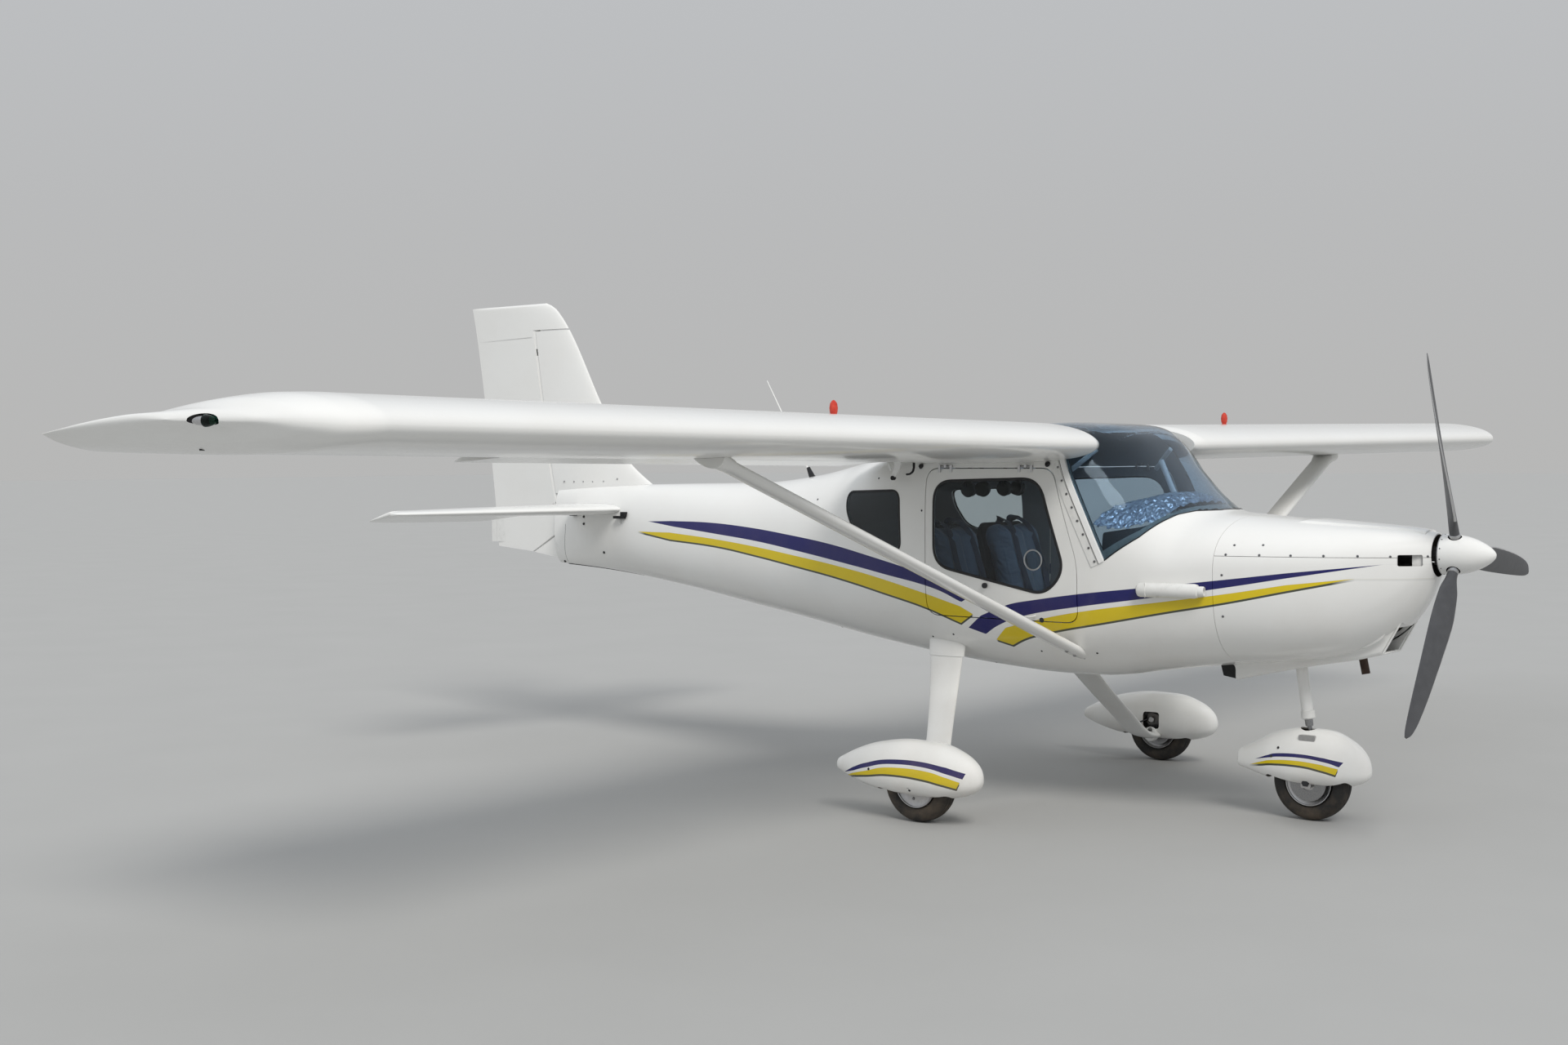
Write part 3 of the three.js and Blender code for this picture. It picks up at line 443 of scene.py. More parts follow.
# %% Painted bands
BODY_BANDS = {
    "Navy": [
        ([(-2400, 1198), (-2200, 1204), (-1905, 1203), (-1579, 1186), (-1264, 1157), (-964, 1122),
          (-700, 1078), (-450, 1030), (-250, 982), (-60, 925)],
         [(-2400, 1198), (-2173, 1174), (-1834, 1146), (-1509, 1118), (-1201, 1080), (-905, 1040),
          (-626, 1000), (-307, 946), (-135, 886), (-60, 925)]),
        ([(-118, 771), (-37, 831), (65, 870), (137, 893), (242, 912), (482, 949), (749, 982), (1091, 1025),
          (1326, 1056), (1664, 1094)],
         [(-118, 771), (-31, 746), (48, 790), (137, 824), (237, 851), (480, 894), (749, 935), (1091, 991),
          (1326, 1034), (1664, 1093)])],
    "Yellow": [
        ([(-2480, 1142), (-2200, 1143), (-1829, 1119), (-1508, 1090), (-1201, 1055), (-906, 1019),
          (-628, 977), (-374, 925), (-146, 868), (-78, 835)],
         [(-2480, 1142), (-2200, 1106), (-1829, 1084), (-1508, 1047), (-1201, 1005), (-906, 963),
          (-628, 914), (-374, 861), (-153, 790), (-78, 835)]),
        ([(16, 724), (84, 782), (140, 797), (230, 820), (379, 854), (573, 888), (839, 927), (1091, 966),
          (1326, 1008), (1570, 1037)],
         [(16, 724), (96, 703), (176, 738), (230, 755), (370, 788), (567, 827), (837, 882), (1091, 931),
          (1326, 983), (1570, 1036)])],
}
PANT_BANDS = {
    "Navy": [([(-385, 172), (-310, 207), (-235, 233), (-75, 265), (72, 268), (185, 254), (265, 233)],
              [(-385, 172), (-310, 190), (-233, 213), (-71, 245), (78, 246), (190, 226), (255, 209),
               (265, 233)])],
    "Yellow": [([(-400, 152), (-316, 180), (-232, 200), (-70, 232), (79, 233), (191, 212), (245, 196)],
                [(-400, 152), (-316, 169), (-234, 181), (-69, 201), (81, 196), (157, 184), (229, 168),
                 (245, 196)])],
}
NOSE_PANT_BANDS = {
    "Navy": [([(-240, 238), (-179, 262), (-112, 279), (-17, 284), (89, 277), (167, 264)],
              [(-240, 238), (-179, 251), (-111, 263), (-16, 268), (89, 259), (150, 243), (167, 264)])],
    "Yellow": [([(-268, 212), (-200, 234), (-149, 246), (-34, 255), (74, 249), (147, 236)],
                [(-268, 212), (-200, 223), (-149, 231), (-33, 236), (75, 224), (136, 210), (147, 236)])],
}
BAND_EDGE = 0.0012
EDGE_DEPTH = 0.009


def band_height(fraction, points, span, floor, rise):
    """The height of one edge of a band, read from a curve over the band's length."""
    height = put(fraction.tree, "ShaderNodeFloatCurve", {"Value": fraction})
    mapping = height.socket.node.mapping
    marks = mapping.curves[0].points
    while len(marks) < len(points):
        marks.new(0.5, 0.5)
    for mark, (x, z) in zip(marks, points):
        mark.location = (x - span[0]) / (span[1] - span[0]), (z - floor) / rise
        mark.handle_type = "AUTO"
    for index in (0, 1, -2, -1):
        marks[index].handle_type = "VECTOR"
    mapping.update()
    return height * (rise / 1000) + floor / 1000


def past(height, width=BAND_EDGE):
    """0 below an edge and 1 past it, with a soft step as wide as width."""
    return maths("DIVIDE", height, width, clamp=True)


def bands_group(name, bands):
    """Masks of the bands in side view, where Position counts from the table's own zero."""
    masks = {"Navy": [], "Yellow": [], "Edge": []}
    tree, given, out = new_group(name, "ShaderNodeTree", {"Position": "Vector"}, masks)
    x, _, z = xyz(given["Position"])
    for colour, pairs in bands.items():
        for upper, lower in pairs:
            span = (upper[0][0], max(upper[-1][0], lower[-1][0]))
            heights = [height for _, height in upper + lower]
            floor, rise = min(heights), max(heights) - min(heights)
            fraction = between(x, span[0] / 1000, span[1] / 1000)
            top, bottom = (band_height(fraction, points, span, floor, rise) for points in (upper, lower))
            under = past(top - z)
            masks[colour].append(under * past(z - bottom))
            if colour == "Yellow":
                masks["Edge"].append(under * past(z + EDGE_DEPTH - bottom) * past(top - bottom, EDGE_DEPTH))
    for label, parts in masks.items():
        total = parts[0]
        for part in parts[1:]:
            total = maths("MAXIMUM", total, part)
        fill(out, {label: total})
    return tree


# %% [markdown]
# Gelcoat is a white polyester coat with a clear gloss. A Principled shader with a thin coat gives the
# double highlight of paint under lacquer. Where bands are painted, their masks choose the colour first
# and the dust is laid over everything afterwards, as on the real aircraft.

# %% Gelcoat
WHITE = (0.83, 0.83, 0.81)
NAVY = (0.004, 0.005, 0.11)
YELLOW = (0.72, 0.55, 0.008)
EDGE_COLOUR = (0.06, 0.07, 0.05)
DUST = (0.43, 0.31, 0.2)


def gelcoat(name, group=None, centre=(SHIFT, 0), dust=0.22, reach=(0.2, 1.0), side=0):
    """White gelcoat. centre is the bands' zero along x and its distance from y = 0; side picks one flank."""
    material, shader, place = new_material(name, "white_gelcoat")
    worn = use(WEATHERING, place, Size=2.6, Dust=dust, Gloss=0.16, Low=reach[0], High=reach[1])
    colour = WHITE
    if group:
        moved = put(place.tree, "ShaderNodeVectorMath", {0: place, 1: (centre[0] / 1000, 0, 0)},
                    operation="SUBTRACT")
        masks = use(group, moved)
        across = xyz(place)[1]
        outside = across * float(side) > centre[1] / 1000 if side else maths("ABSOLUTE", across) > 0.03
        for label, paint in (("Edge", EDGE_COLOUR), ("Yellow", YELLOW), ("Navy", NAVY)):
            colour = mix(masks[label] * outside, colour, paint)
    fill(shader, {"Base Color": mix(worn["Dirt"], colour, DUST), "Roughness": worn["Roughness"],
                  "Coat Weight": 0.15, "Coat Roughness": 0.06})
    bump(shader, worn["Height"], 0.0006, 0.35)
    return material


GELCOAT = gelcoat("white_gelcoat")
BODY_PAINT = gelcoat("body_gelcoat_with_bands", bands_group("Body bands", BODY_BANDS))
PANT_GROUP = bands_group("Main pant bands", PANT_BANDS)
NOSE_WHEEL_X = 1274.0
TRACK_HALF = 1040.0
PANT_PAINT = {name: gelcoat(f"{name}_pant_gelcoat", PANT_GROUP, (SHIFT, TRACK_HALF), 0.35, (0.1, 0.35), s)
              for name, s in SIDES}
NOSE_PANT_PAINT = gelcoat("nose_pant_gelcoat", bands_group("Nose pant bands", NOSE_PANT_BANDS),
                          (SHIFT + NOSE_WHEEL_X, 0), 0.35, (0.1, 0.35))

# %% [markdown]
# The other finishes share one recipe: a base colour broken up by noise, a roughness, and a bump with
# the grain of the real stuff. Each has its own scale and strength, so rubber, cast alloy and moulded
# plastic don't read as the same grey.

# %% Plain finishes
def grained(name, slot, one, other, scale, roughness, metallic=0.0, depth=0.0004, strength=0.4, dusty=0.0,
            coat=0.0):
    material, shader, place = new_material(name, slot)
    noise = clouds(place, scale, 4.0)
    colour = mix(between(noise, 0.3, 0.7), one, other)
    if dusty:
        worn = use(WEATHERING, place, Size=9.0, Dust=dusty, Gloss=roughness, Low=0.0, High=0.6)
        colour = mix(worn["Dirt"], colour, DUST)
    fill(shader, {"Base Color": colour, "Metallic": metallic, "Coat Weight": coat,
                  "Roughness": between(noise, 0.2, 0.8, roughness * 0.8, min(1, roughness * 1.2))})
    bump(shader, noise, depth, strength)
    return material


MOULDED, METAL, PAINTED = "dark_plastic", "bare_alloy", "white_gelcoat"
LINING = grained("cabin_lining", MOULDED, (0.3, 0.31, 0.32), (0.36, 0.37, 0.38), 240, 0.8)
RUBBER = grained("seal_rubber", MOULDED, (0.012, 0.012, 0.013), (0.02, 0.02, 0.022), 300, 0.6)
TYRE = grained("tyre_rubber", "tyre_rubber", (0.014, 0.0135, 0.013), (0.024, 0.023, 0.022), 120, 0.75,
               depth=0.0008, dusty=0.22)
ALLOY = grained("cast_alloy", METAL, (0.5, 0.5, 0.51), (0.6, 0.6, 0.6), 90, 0.35, 1.0, dusty=0.25)
STEEL = grained("screw_steel", METAL, (0.28, 0.28, 0.29), (0.4, 0.4, 0.4), 200, 0.38, 1.0)
BURNT = grained("burnt_exhaust_steel", "exhaust_steel", (0.045, 0.026, 0.02), (0.09, 0.06, 0.045), 40, 0.6,
                0.6, 0.0005)
DARK = grained("dark_plastic", MOULDED, (0.018, 0.019, 0.021), (0.028, 0.029, 0.031), 500, 0.5)
# Near-black: the real black parts, and painted shade in hollows such as the scoop and duct insides, the
# outlet, holes and recesses.
BLACK_AND_SHADE = grained("black_and_painted_shade", MOULDED, (0.008, 0.008, 0.009), (0.014, 0.014, 0.015), 60, 0.7)
RAW = grained("raw_laminate_inside", PAINTED, (0.16, 0.155, 0.14), (0.24, 0.23, 0.2), 60, 0.7, dusty=0.5)
# Grey-green for the windscreen's flange: painted shade on it under the tinted glass.
FLANGE_SHADE_GREY = grained("glazing_flange_painted_shade", PAINTED, (0.27, 0.3, 0.28), (0.35, 0.38, 0.35), 50, 0.6)
CAST = grained("cast_engine_alloy", METAL, (0.12, 0.12, 0.125), (0.2, 0.2, 0.2), 70, 0.55, 0.8, 0.0006, 0.6,
               dusty=0.3)
PLAIN_WHITE = grained("painted_white_fittings", PAINTED, (0.74, 0.74, 0.72), (0.8, 0.8, 0.78), 30, 0.3,
                      dusty=0.15, coat=0.3)
# A whiter white for the windscreen strips and centre tube; on the flap brackets the extra white is painted
# sunlight.
WHITER_AND_LIT = grained("bright_white_and_painted_sunlight", PAINTED, (0.84, 0.84, 0.83), (0.88, 0.88, 0.87), 30, 0.25, coat=0.4)
print("finishes:", len(bpy.data.materials))

# %% [markdown]
# Camera and light. The camera stands where the photographer stood, at eye height off the right wing
# tip, with the lens that was worked out from the aircraft's known sizes. The light is a plain studio:
# a pale floor, a soft sky that is brighter overhead, and a key as wide as a big soft box. The key is a
# sun lamp, so it lights the whole floor evenly; the sky at the horizon has the floor's own brightness.

# %% Camera
EYE = (5.644, -7.561, 1.527)
YAW, PITCH, ROLL = (math.radians(angle) for angle in (39.671, -1.911, -0.332))
LENS, SENSOR = 43.886, 36.0


def make_camera():
    ahead = Vector((-math.sin(YAW) * math.cos(PITCH), math.cos(YAW) * math.cos(PITCH), math.sin(PITCH)))
    right = ahead.cross(Vector((0, 0, 1))).normalized()
    above = right.cross(ahead)
    rolled = right * math.cos(ROLL) + above * math.sin(ROLL)
    upright = above * math.cos(ROLL) - right * math.sin(ROLL)
    data = bpy.data.cameras.new("camera")
    data.sensor_fit, data.sensor_width, data.lens = "HORIZONTAL", SENSOR, LENS
    data.clip_end = 500
    camera = new_object("camera", data)
    turn = Matrix((rolled, upright, -ahead)).transposed()
    camera.matrix_world = Matrix.Translation(EYE) @ turn.to_4x4()
    SCENE.camera = camera
    print("camera:", EYE, "lens", LENS)


make_camera()

# %% Floor and light
def make_stage():
    far = 150.0
    floor = new_object("floor", new_mesh("floor", [(-far, -far, 0), (far, -far, 0), (far, far, 0),
                                                   (-far, far, 0)], [(0, 1, 2, 3)]))
    material, shader, place = new_material("pale_floor", None)
    fill(shader, {"Base Color": mix(clouds(place, 1.4, 5.0), (0.4, 0.4, 0.39), (0.43, 0.43, 0.42)),
                  "Roughness": 0.75})
    floor.data.materials.append(material)


def make_sky():
    world = bpy.data.worlds.new("studio")
    world.use_nodes = True
    SCENE.world = world
    up = xyz(put(world.node_tree, "ShaderNodeTexCoord", out="Generated"))[2]
    sky = put(up.tree, "ShaderNodeValToRGB", {0: up * 0.5 + 0.5})
    marks = sky.socket.node.color_ramp.elements
    stops = ((0.0, (0.4, 0.4, 0.39)), (0.5, (0.53, 0.53, 0.525)), (0.56, (0.54, 0.545, 0.55)),
             (0.75, (0.62, 0.65, 0.69)), (1.0, (0.82, 0.85, 0.89)))
    for index, (at, colour) in enumerate(stops):
        stop = marks[index] if index < 2 else marks.new(at)
        stop.position, stop.color = at, (*colour, 1)
    fill(up.tree.nodes["Background"].inputs, {0: sky, 1: 0.9})


def soft_light(name, spot, spread, strength, colour):
    """A lamp far away in the direction of a spot, as wide as spread and without a mirror image."""
    data = bpy.data.lights.new(name, "SUN")
    data.angle, data.energy, data.color = math.radians(spread), strength, colour
    light = new_object(name, data)
    light.rotation_euler = Vector(spot).to_track_quat("Z", "Y").to_euler()
    light.visible_glossy = False


make_stage()
make_sky()
soft_light("key", (8.5, -5.5, 10.5), 24, 1.85, (1.0, 0.97, 0.93))
soft_light("fill", (-7.0, -9.0, 6.0), 40, 0.35, (0.92, 0.96, 1.0))
SCENE.view_settings.view_transform = "Standard"

# %% [markdown]
# The hull is one smooth body from the propeller to the tail, so it is one loft: each row of the table
# gives the height, the width and the squareness of a superellipse. A monotone curve through the rows
# keeps the straight runs straight, and three light smoothing passes take the last kinks out of the
# reflections. The same table answers where the skin is, so seals, screws and bands sit on it exactly.

# %% Hull shape
FUSELAGE = [
    (-3240, 945, 1130, 1372, 62, 2.2, 2.2),
    (-2900, 925, 1130, 1384, 112, 2.2, 2.2),
    (-2300, 862, 1110, 1396, 205, 2.4, 2.3),
    (-1700, 775, 1085, 1406, 305, 2.5, 2.3),
    (-1300, 718, 1070, 1446, 375, 2.6, 2.5),
    (-1000, 672, 1060, 1502, 430, 2.7, 2.8),
    (-780, 642, 1055, 1546, 474, 2.8, 3.8),
    (-450, 604, 1050, 1616, 530, 2.9, 5.0),
    (-100, 572, 1045, 1668, 548, 3.0, 4.6),
    (200, 556, 1040, 1684, 550, 3.0, 4.2),
    (400, 560, 1035, 1672, 545, 3.0, 4.2),
    (500, 570, 1030, 1638, 540, 3.0, 3.0),
    (620, 592, 1030, 1520, 527, 3.0, 2.3),
    (740, 610, 1035, 1397, 509, 3.0, 2.1),
    (850, 625, 1040, 1317, 491, 3.0, 2.0),
    (920, 634, 1045, 1290, 477, 3.0, 2.2),
    (1040, 650, 1050, 1278, 452, 2.9, 2.4),
    (1250, 672, 1060, 1262, 400, 2.8, 2.4),
    (1450, 705, 1075, 1248, 330, 2.6, 2.4),
    (1600, 765, 1090, 1238, 255, 2.4, 2.4),
    (1700, 850, 1105, 1230, 190, 2.3, 2.3),
    (1770, 950, 1120, 1222, 125, 2.1, 2.1),
    (1805, 1040, 1130, 1215, 86, 2.0, 2.0),
]
TAIL_X, BULKHEAD_X, FIREWALL_X, NOSE_X = -3240.0, -1000.0, 1040.0, 1805.0
WALL = 14.0


def smoothed(rows, passes):
    """Rows of a table, each drawn a little towards its neighbours."""
    for _ in range(passes):
        rows[1:-1, 1:] = (rows[:-2, 1:] + 2 * rows[1:-1, 1:] + rows[2:, 1:]) / 4
    return rows


HULL = smoothed(monotone(np.linspace(TAIL_X, NOSE_X, 842), FUSELAGE), 5)


def hull_row(x):
    return [np.interp(x, HULL[:, 0], HULL[:, k]) for k in range(1, 7)]


def hull(name, x0, x1, inset=0.0, step=16.0, count=168, material=GELCOAT):
    """The hull between two stations, smaller all round by inset."""
    rings = []
    for x in np.linspace(x0, x1, int(math.ceil((x1 - x0) / step)) + 1):
        low, wide, high, half, square_low, square_high = hull_row(x)
        flat = superellipse(half - inset, wide - low - inset, high - wide - inset, square_low, square_high,
                            count)
        rings.append([(x, y, wide + z) for y, z in flat])
    return solid(name, *loft(rings), material)


def flesh(x0, x1):
    """The hull as a cutter for what ends on it, a hair smaller than the skin."""
    return hull("tool", x0, x1, -0.3, 14)


def bulge(share, square):
    """How far out a superellipse still reaches at a share of its other half."""
    return max(0.0, 1 - abs(share) ** square) ** (1 / square)


def hull_y(x, z):
    """Half width of the hull at a place in side view."""
    low, wide, high, half, square_low, square_high = hull_row(x)
    if z < wide:
        return half * bulge((z - wide) / (wide - low), square_low)
    return half * bulge((z - wide) / (high - wide), square_high)


def hull_top(x, y):
    """Height of the hull's upper side at a distance from the middle."""
    _, wide, high, half, _, square = hull_row(x)
    return wide + (high - wide) * bulge(y / half, square)


def hull_floor(x, y):
    """Height of its underside at a distance from the middle."""
    low, wide, _, half, square, _ = hull_row(x)
    return wide - (wide - low) * bulge(y / half, square)


def hull_normal(x, z, s):
    ahead, above = hull_y(x + 4, z) - hull_y(x - 4, z), hull_y(x, z + 4) - hull_y(x, z - 4)
    return unit((-ahead / 8, 1, -above / 8)) * (1, s, 1)


def on_hull(x, z, s, out=0.0):
    """A point on the hull's side, raised by out along the surface's own normal."""
    return np.array((x, s * hull_y(x, z), z)) + hull_normal(x, z, s) * out


print("hull:", len(HULL), "rows, widest", round(float(HULL[:, 4].max()) * 2), "mm")

# %% Openings in the hull
DOOR = [(325, 1478), (455, 1075), (455, 822), (-330, 822), (-330, 1478)]
DOOR_WINDOW = [(-284, 1422), (266, 1436), (397, 1040), (302, 936), (-284, 1048)]
QUARTER_WINDOW = [(-850, 1370), (-490, 1380), (-478, 1098), (-788, 1186), (-848, 1290)]
DOOR_GAP = 4.0
SCREEN_BASE = [(583, 1092), (633, 1131), (717, 1191), (771, 1249), (806, 1283), (840, 1296), (1000, 1300)]
POST_LEAN = -0.484
SCREEN_TOP = 1750
SKYLIGHT = (60, 450, 360)
FLANGE_BASE, FLANGE_SIDE = 44.0, 9.0
GLASS = 4.5

SIDE_REACH = (200, 700)


def grow(points, by):
    """An outline with every corner moved out from its middle, along x and z."""
    points = np.asarray(points, float)
    return points + np.sign(points - points.mean(0)) * by


def side_tool(outline, s, radius, material=None):
    """A cutter that goes through one flank."""
    return prism(outline, s * SIDE_REACH[0], s * SIDE_REACH[1], radius, material)


def screen_tools(shrink=0.0, below=0.0, material=None):
    """The windscreen and its roof light as cutters, smaller by shrink, and by below along the base."""
    narrow = np.interp([x for x, _ in SCREEN_BASE], (583, 800, 1000), (1, 0.55, 0.5)) * below
    base = [(x - off * 0.2, z + off * 0.9) for (x, z), off in zip(SCREEN_BASE, narrow)]
    corner_x, corner_z = SCREEN_BASE[0]
    foot = (corner_x + POST_LEAN * below * 0.9 + shrink, corner_z + below * 0.9)
    head = (corner_x + POST_LEAN * (SCREEN_TOP - corner_z) + shrink, SCREEN_TOP)
    screen = prism([foot, *[p for p in base[1:] if p[0] > foot[0] + 5], (base[-1][0], SCREEN_TOP), head],
                   -620, 620, 0, material)
    aft, fore, half = SKYLIGHT
    light = prism([(aft + shrink, -half + shrink), (fore + 60, -half + shrink), (fore + 60, half - shrink),
                   (aft + shrink, half - shrink)], 1530, SCREEN_TOP, 40, material, place=from_above)
    return [screen, light]


def cabin_room(x0=BULKHEAD_X + WALL, x1=FIREWALL_X - WALL, inset=WALL, step=24, material=LINING):
    return hull("tool", x0, x1, inset, step, 120, material)


def in_cabin(x0, x1):
    """The cabin's inside between two stations, for trimming what stands in it."""
    return cabin_room(x0, x1, WALL + 1.5, 14, DARK)


# %% Cabin shell and tail cone
def make_fuselage():
    body = hull("fuselage_skin", TAIL_X, FIREWALL_X, material=BODY_PAINT)
    cut(body, cabin_room())
    # Each opening's rebate is lined grey-green, painted shade under the glass.
    for tool in screen_tools():
        cut(body, cut(tool, hull("tool", -100, FIREWALL_X + 20, 7, material=FLANGE_SHADE_GREY)))
    cut(body, *screen_tools(FLANGE_SIDE, FLANGE_BASE, DARK))
    for _, s in SIDES:
        cut(body, side_tool(grow(DOOR, DOOR_GAP), s, 62), side_tool(QUARTER_WINDOW, s, 50))
    return body


FUSELAGE_SKIN = make_fuselage()
print("fuselage faces:", len(FUSELAGE_SKIN.data.polygons))

# %% [markdown]
# Glass is tinted acrylic, 4.5 mm thick, bent to the hull's own curve: the hull lofted twice, one inside
# the other, and trimmed to the opening. It is real thickness, so its edge catches light and it bends
# what is behind it. Transmission with a faint blue-grey base does the tint. The windscreen lies in a
# rebate on a flange of the shell, coloured grey-green as painted shade under the glass, which shows
# through it as a darker band along the base.

# %% Tinted acrylic
def tinted(name, colour, roughness=0.0):
    material, shader, place = new_material(name, "tinted_glazing")
    noise = clouds(place, 5.0, 3.0)
    fill(shader, {"Base Color": mix(noise, colour, tuple(c * 0.93 for c in colour)),
                  "Roughness": between(noise, 0.35, 0.8, roughness, roughness + 0.015),
                  "Transmission Weight": 1.0, "IOR": 1.3, "Specular IOR Level": 0.35})
    return material


TINTED = tinted("tinted_acrylic", (0.5, 0.63, 0.75))
SIDE_GLASS = tinted("smoked_side_acrylic", (0.7, 0.76, 0.78))
ACRYLIC_INSET = 1.0


def acrylic(name, x0, x1, material, *trims):
    """A sheet bent to the hull and trimmed by one or more cutters."""
    sheets = []
    for trim in trims:
        sheet = hull(name, x0, x1, ACRYLIC_INSET, 14, material=material)
        cut(sheet, hull("tool", x0 - 30, x1 + 30, ACRYLIC_INSET + GLASS, 14, material=material))
        sheets.append(keep(sheet, trim))
    return boolean(sheets[0], "UNION", *sheets[1:]) if sheets[1:] else sheets[0]


# %% Seals and plates that follow the hull
def along(points, step, closed=False):
    """A line of flat points respaced evenly."""
    points = np.asarray(points, float)
    if closed:
        points = np.vstack([points, points[:1]])
    run = np.concatenate([[0], np.cumsum(np.linalg.norm(np.diff(points, axis=0), axis=1))])
    count = max(4, int(run[-1] / step))
    even = np.linspace(0, run[-1], count + 1)
    even = even[:-1] if closed else even
    return np.column_stack([np.interp(even, run, points[:, k]) for k in range(points.shape[1])])


def hull_line(flat, s, out=0.0):
    """A line in side view laid on the hull, and the directions its points face."""
    return (np.array([on_hull(x, z, s, out) for x, z in flat]),
            np.array([hull_normal(x, z, s) for x, z in flat]))


def seal(name, outline, radius, s, body="airframe", width=13.0):
    """A half-round rubber seal round an opening, pressed on the skin."""
    path, lifts = hull_line(along(rounded(outline, radius, 12), 11, True), s, 0.6)
    finish(swept(path, width / 2, RUBBER, name, 10, 0.32, True, lifts), body=body, degrees=60)


def plate(start, end, width, s, material, thick):
    """A flat strip riveted on the skin between two places in side view."""
    start, end = np.asarray(start, float), np.asarray(end, float)
    line = unit(end - start)
    across = np.array((-line[1], line[0])) * width
    section = [(0, -2), (0.25, -2), (0.5, -2), (0.75, -2), (1, -2), (1, 0.3 * thick), (0.95, thick),
               (0.5, thick), (0.05, thick), (0, 0.3 * thick)]
    rings = [[on_hull(*(start + (end - start) * t + across * u), s, out) for u, out in section]
             for t in np.linspace(0, 1, 40)]
    return solid("strip", *loft(rings), material)


# %% [markdown]
# Screws, rivets and hinge dots repeat by the dozen, so Geometry Nodes make them: every point of a bare
# mesh carries the direction it faces, and one small head is placed on each, with a low cross on top
# coloured black as the painted shade of its recess.
# The tree's inputs are the head's sizes and finishes, and the result is turned back into a plain mesh.

# %% Screw heads by Geometry Nodes
def on_points(points, piece):
    """The nodes that set one piece on each point, turned to the point's own direction."""
    tree = points.tree
    facing = put(tree, "GeometryNodeInputNamedAttribute", {"Name": "facing"}, data_type="FLOAT_VECTOR")
    turn = put(tree, "FunctionNodeAlignRotationToVector", {"Vector": facing}, axis="Z")
    placed = put(tree, "GeometryNodeInstanceOnPoints", {"Points": points, "Instance": piece,
                                                        "Rotation": turn})
    return put(tree, "GeometryNodeRealizeInstances", {"Geometry": placed})


def coated(geometry, material, **chosen):
    return put(geometry.tree, "GeometryNodeSetMaterial",
               {"Geometry": geometry, "Material": material, **chosen})


def generated(name, group, values, mesh=None):
    """A plain mesh made by a Geometry Nodes group from named values."""
    obj = new_object(name, mesh or bpy.data.meshes.new(name))
    modifier = obj.modifiers.new("nodes", "NODES")
    modifier.node_group = group
    named = {item.name: item.identifier for item in group.interface.items_tree if item.in_out == "INPUT"}
    for label, value in values.items():
        modifier[named[label]] = value
    return baked(obj)


def scattered(name, group, spots, values):
    """The group worked on bare points, one for each (point, direction) in millimetres."""
    mesh = new_mesh(name, metres([point for point, _ in spots]).tolist(), [])
    facing = mesh.attributes.new("facing", "FLOAT_VECTOR", "POINT")
    facing.data.foreach_set("vector", np.array([turn for _, turn in spots], float).ravel())
    return generated(name, group, values, mesh)


def screw_tree():
    tree, given, out = new_group(
        "Screw heads", "GeometryNodeTree",
        {"Geometry": "Geometry", "Radius": 0.004, "Height": 0.0015, "Recess": 0.55, "Head": "Material",
         "Dark": "Material"}, ["Geometry"])
    radius, height = given["Radius"], given["Height"]
    head = put(tree, "GeometryNodeMeshCone", {"Vertices": 14, "Radius Top": radius * 0.72,
                                              "Radius Bottom": radius, "Depth": height})
    long, thin = radius * given["Recess"] * 2.0, radius * 0.26
    up = put(tree, "ShaderNodeCombineXYZ", {2: height * 0.56})
    both = tree.nodes.new("GeometryNodeJoinGeometry")
    for first, second in ((long, thin), (thin, long)):
        bar = put(tree, "GeometryNodeMeshCube",
                  {"Size": put(tree, "ShaderNodeCombineXYZ", {0: first, 1: second, 2: height})})
        bar = put(tree, "GeometryNodeTransform", {"Geometry": bar, "Translation": up})
        fill(both.inputs, {0: put(tree, "GeometryNodeStoreNamedAttribute",
                                  {"Geometry": bar, "Name": "recess", "Value": True},
                                  data_type="BOOLEAN", domain="FACE")})
    fill(both.inputs, {0: head})
    whole = coated(on_points(given["Geometry"], Signal(both.outputs[0])), given["Head"])
    # The cross is a low raised bar in the dark material: painted shade that stands for the recess.
    cross = put(tree, "GeometryNodeInputNamedAttribute", {"Name": "recess"}, data_type="BOOLEAN")
    fill(out, {"Geometry": coated(whole, given["Dark"], Selection=cross)})
    return tree


SCREW_TREE = screw_tree()


def screws(name, spots, radius=4.5, height=1.6, head=STEEL, recess=0.55, body="airframe"):
    """One head for each (point, direction), in millimetres."""
    made = scattered(name, SCREW_TREE, spots, {"Radius": radius / 1000, "Height": height / 1000,
                                               "Recess": recess, "Head": head, "Dark": BLACK_AND_SHADE})
    finish(made, body=body, slot=SLOT_OF[head.name], degrees=25)


def side_spots(places, s, out=0.3):
    return [(on_hull(x, z, s, out), hull_normal(x, z, s)) for x, z in places]


# %% [markdown]
# Doors and windows. Each door is a piece of the hull's own wall, cut along the door's outline, so its
# skin runs on from the cabin's with an even gap. It rides on its own body and swings at its two roof
# hinges. The pane and its rubber ride with it. A small round vent with an alloy ring sits in the pane.

# %% Doors
DOOR_RANGE = (-430, 560)
VENT_AT, VENT_RADIUS = (245, 1085), 43.0
HINGE_Y, HINGE_Z, HINGE_X = 522, 1488, (-230, 190)


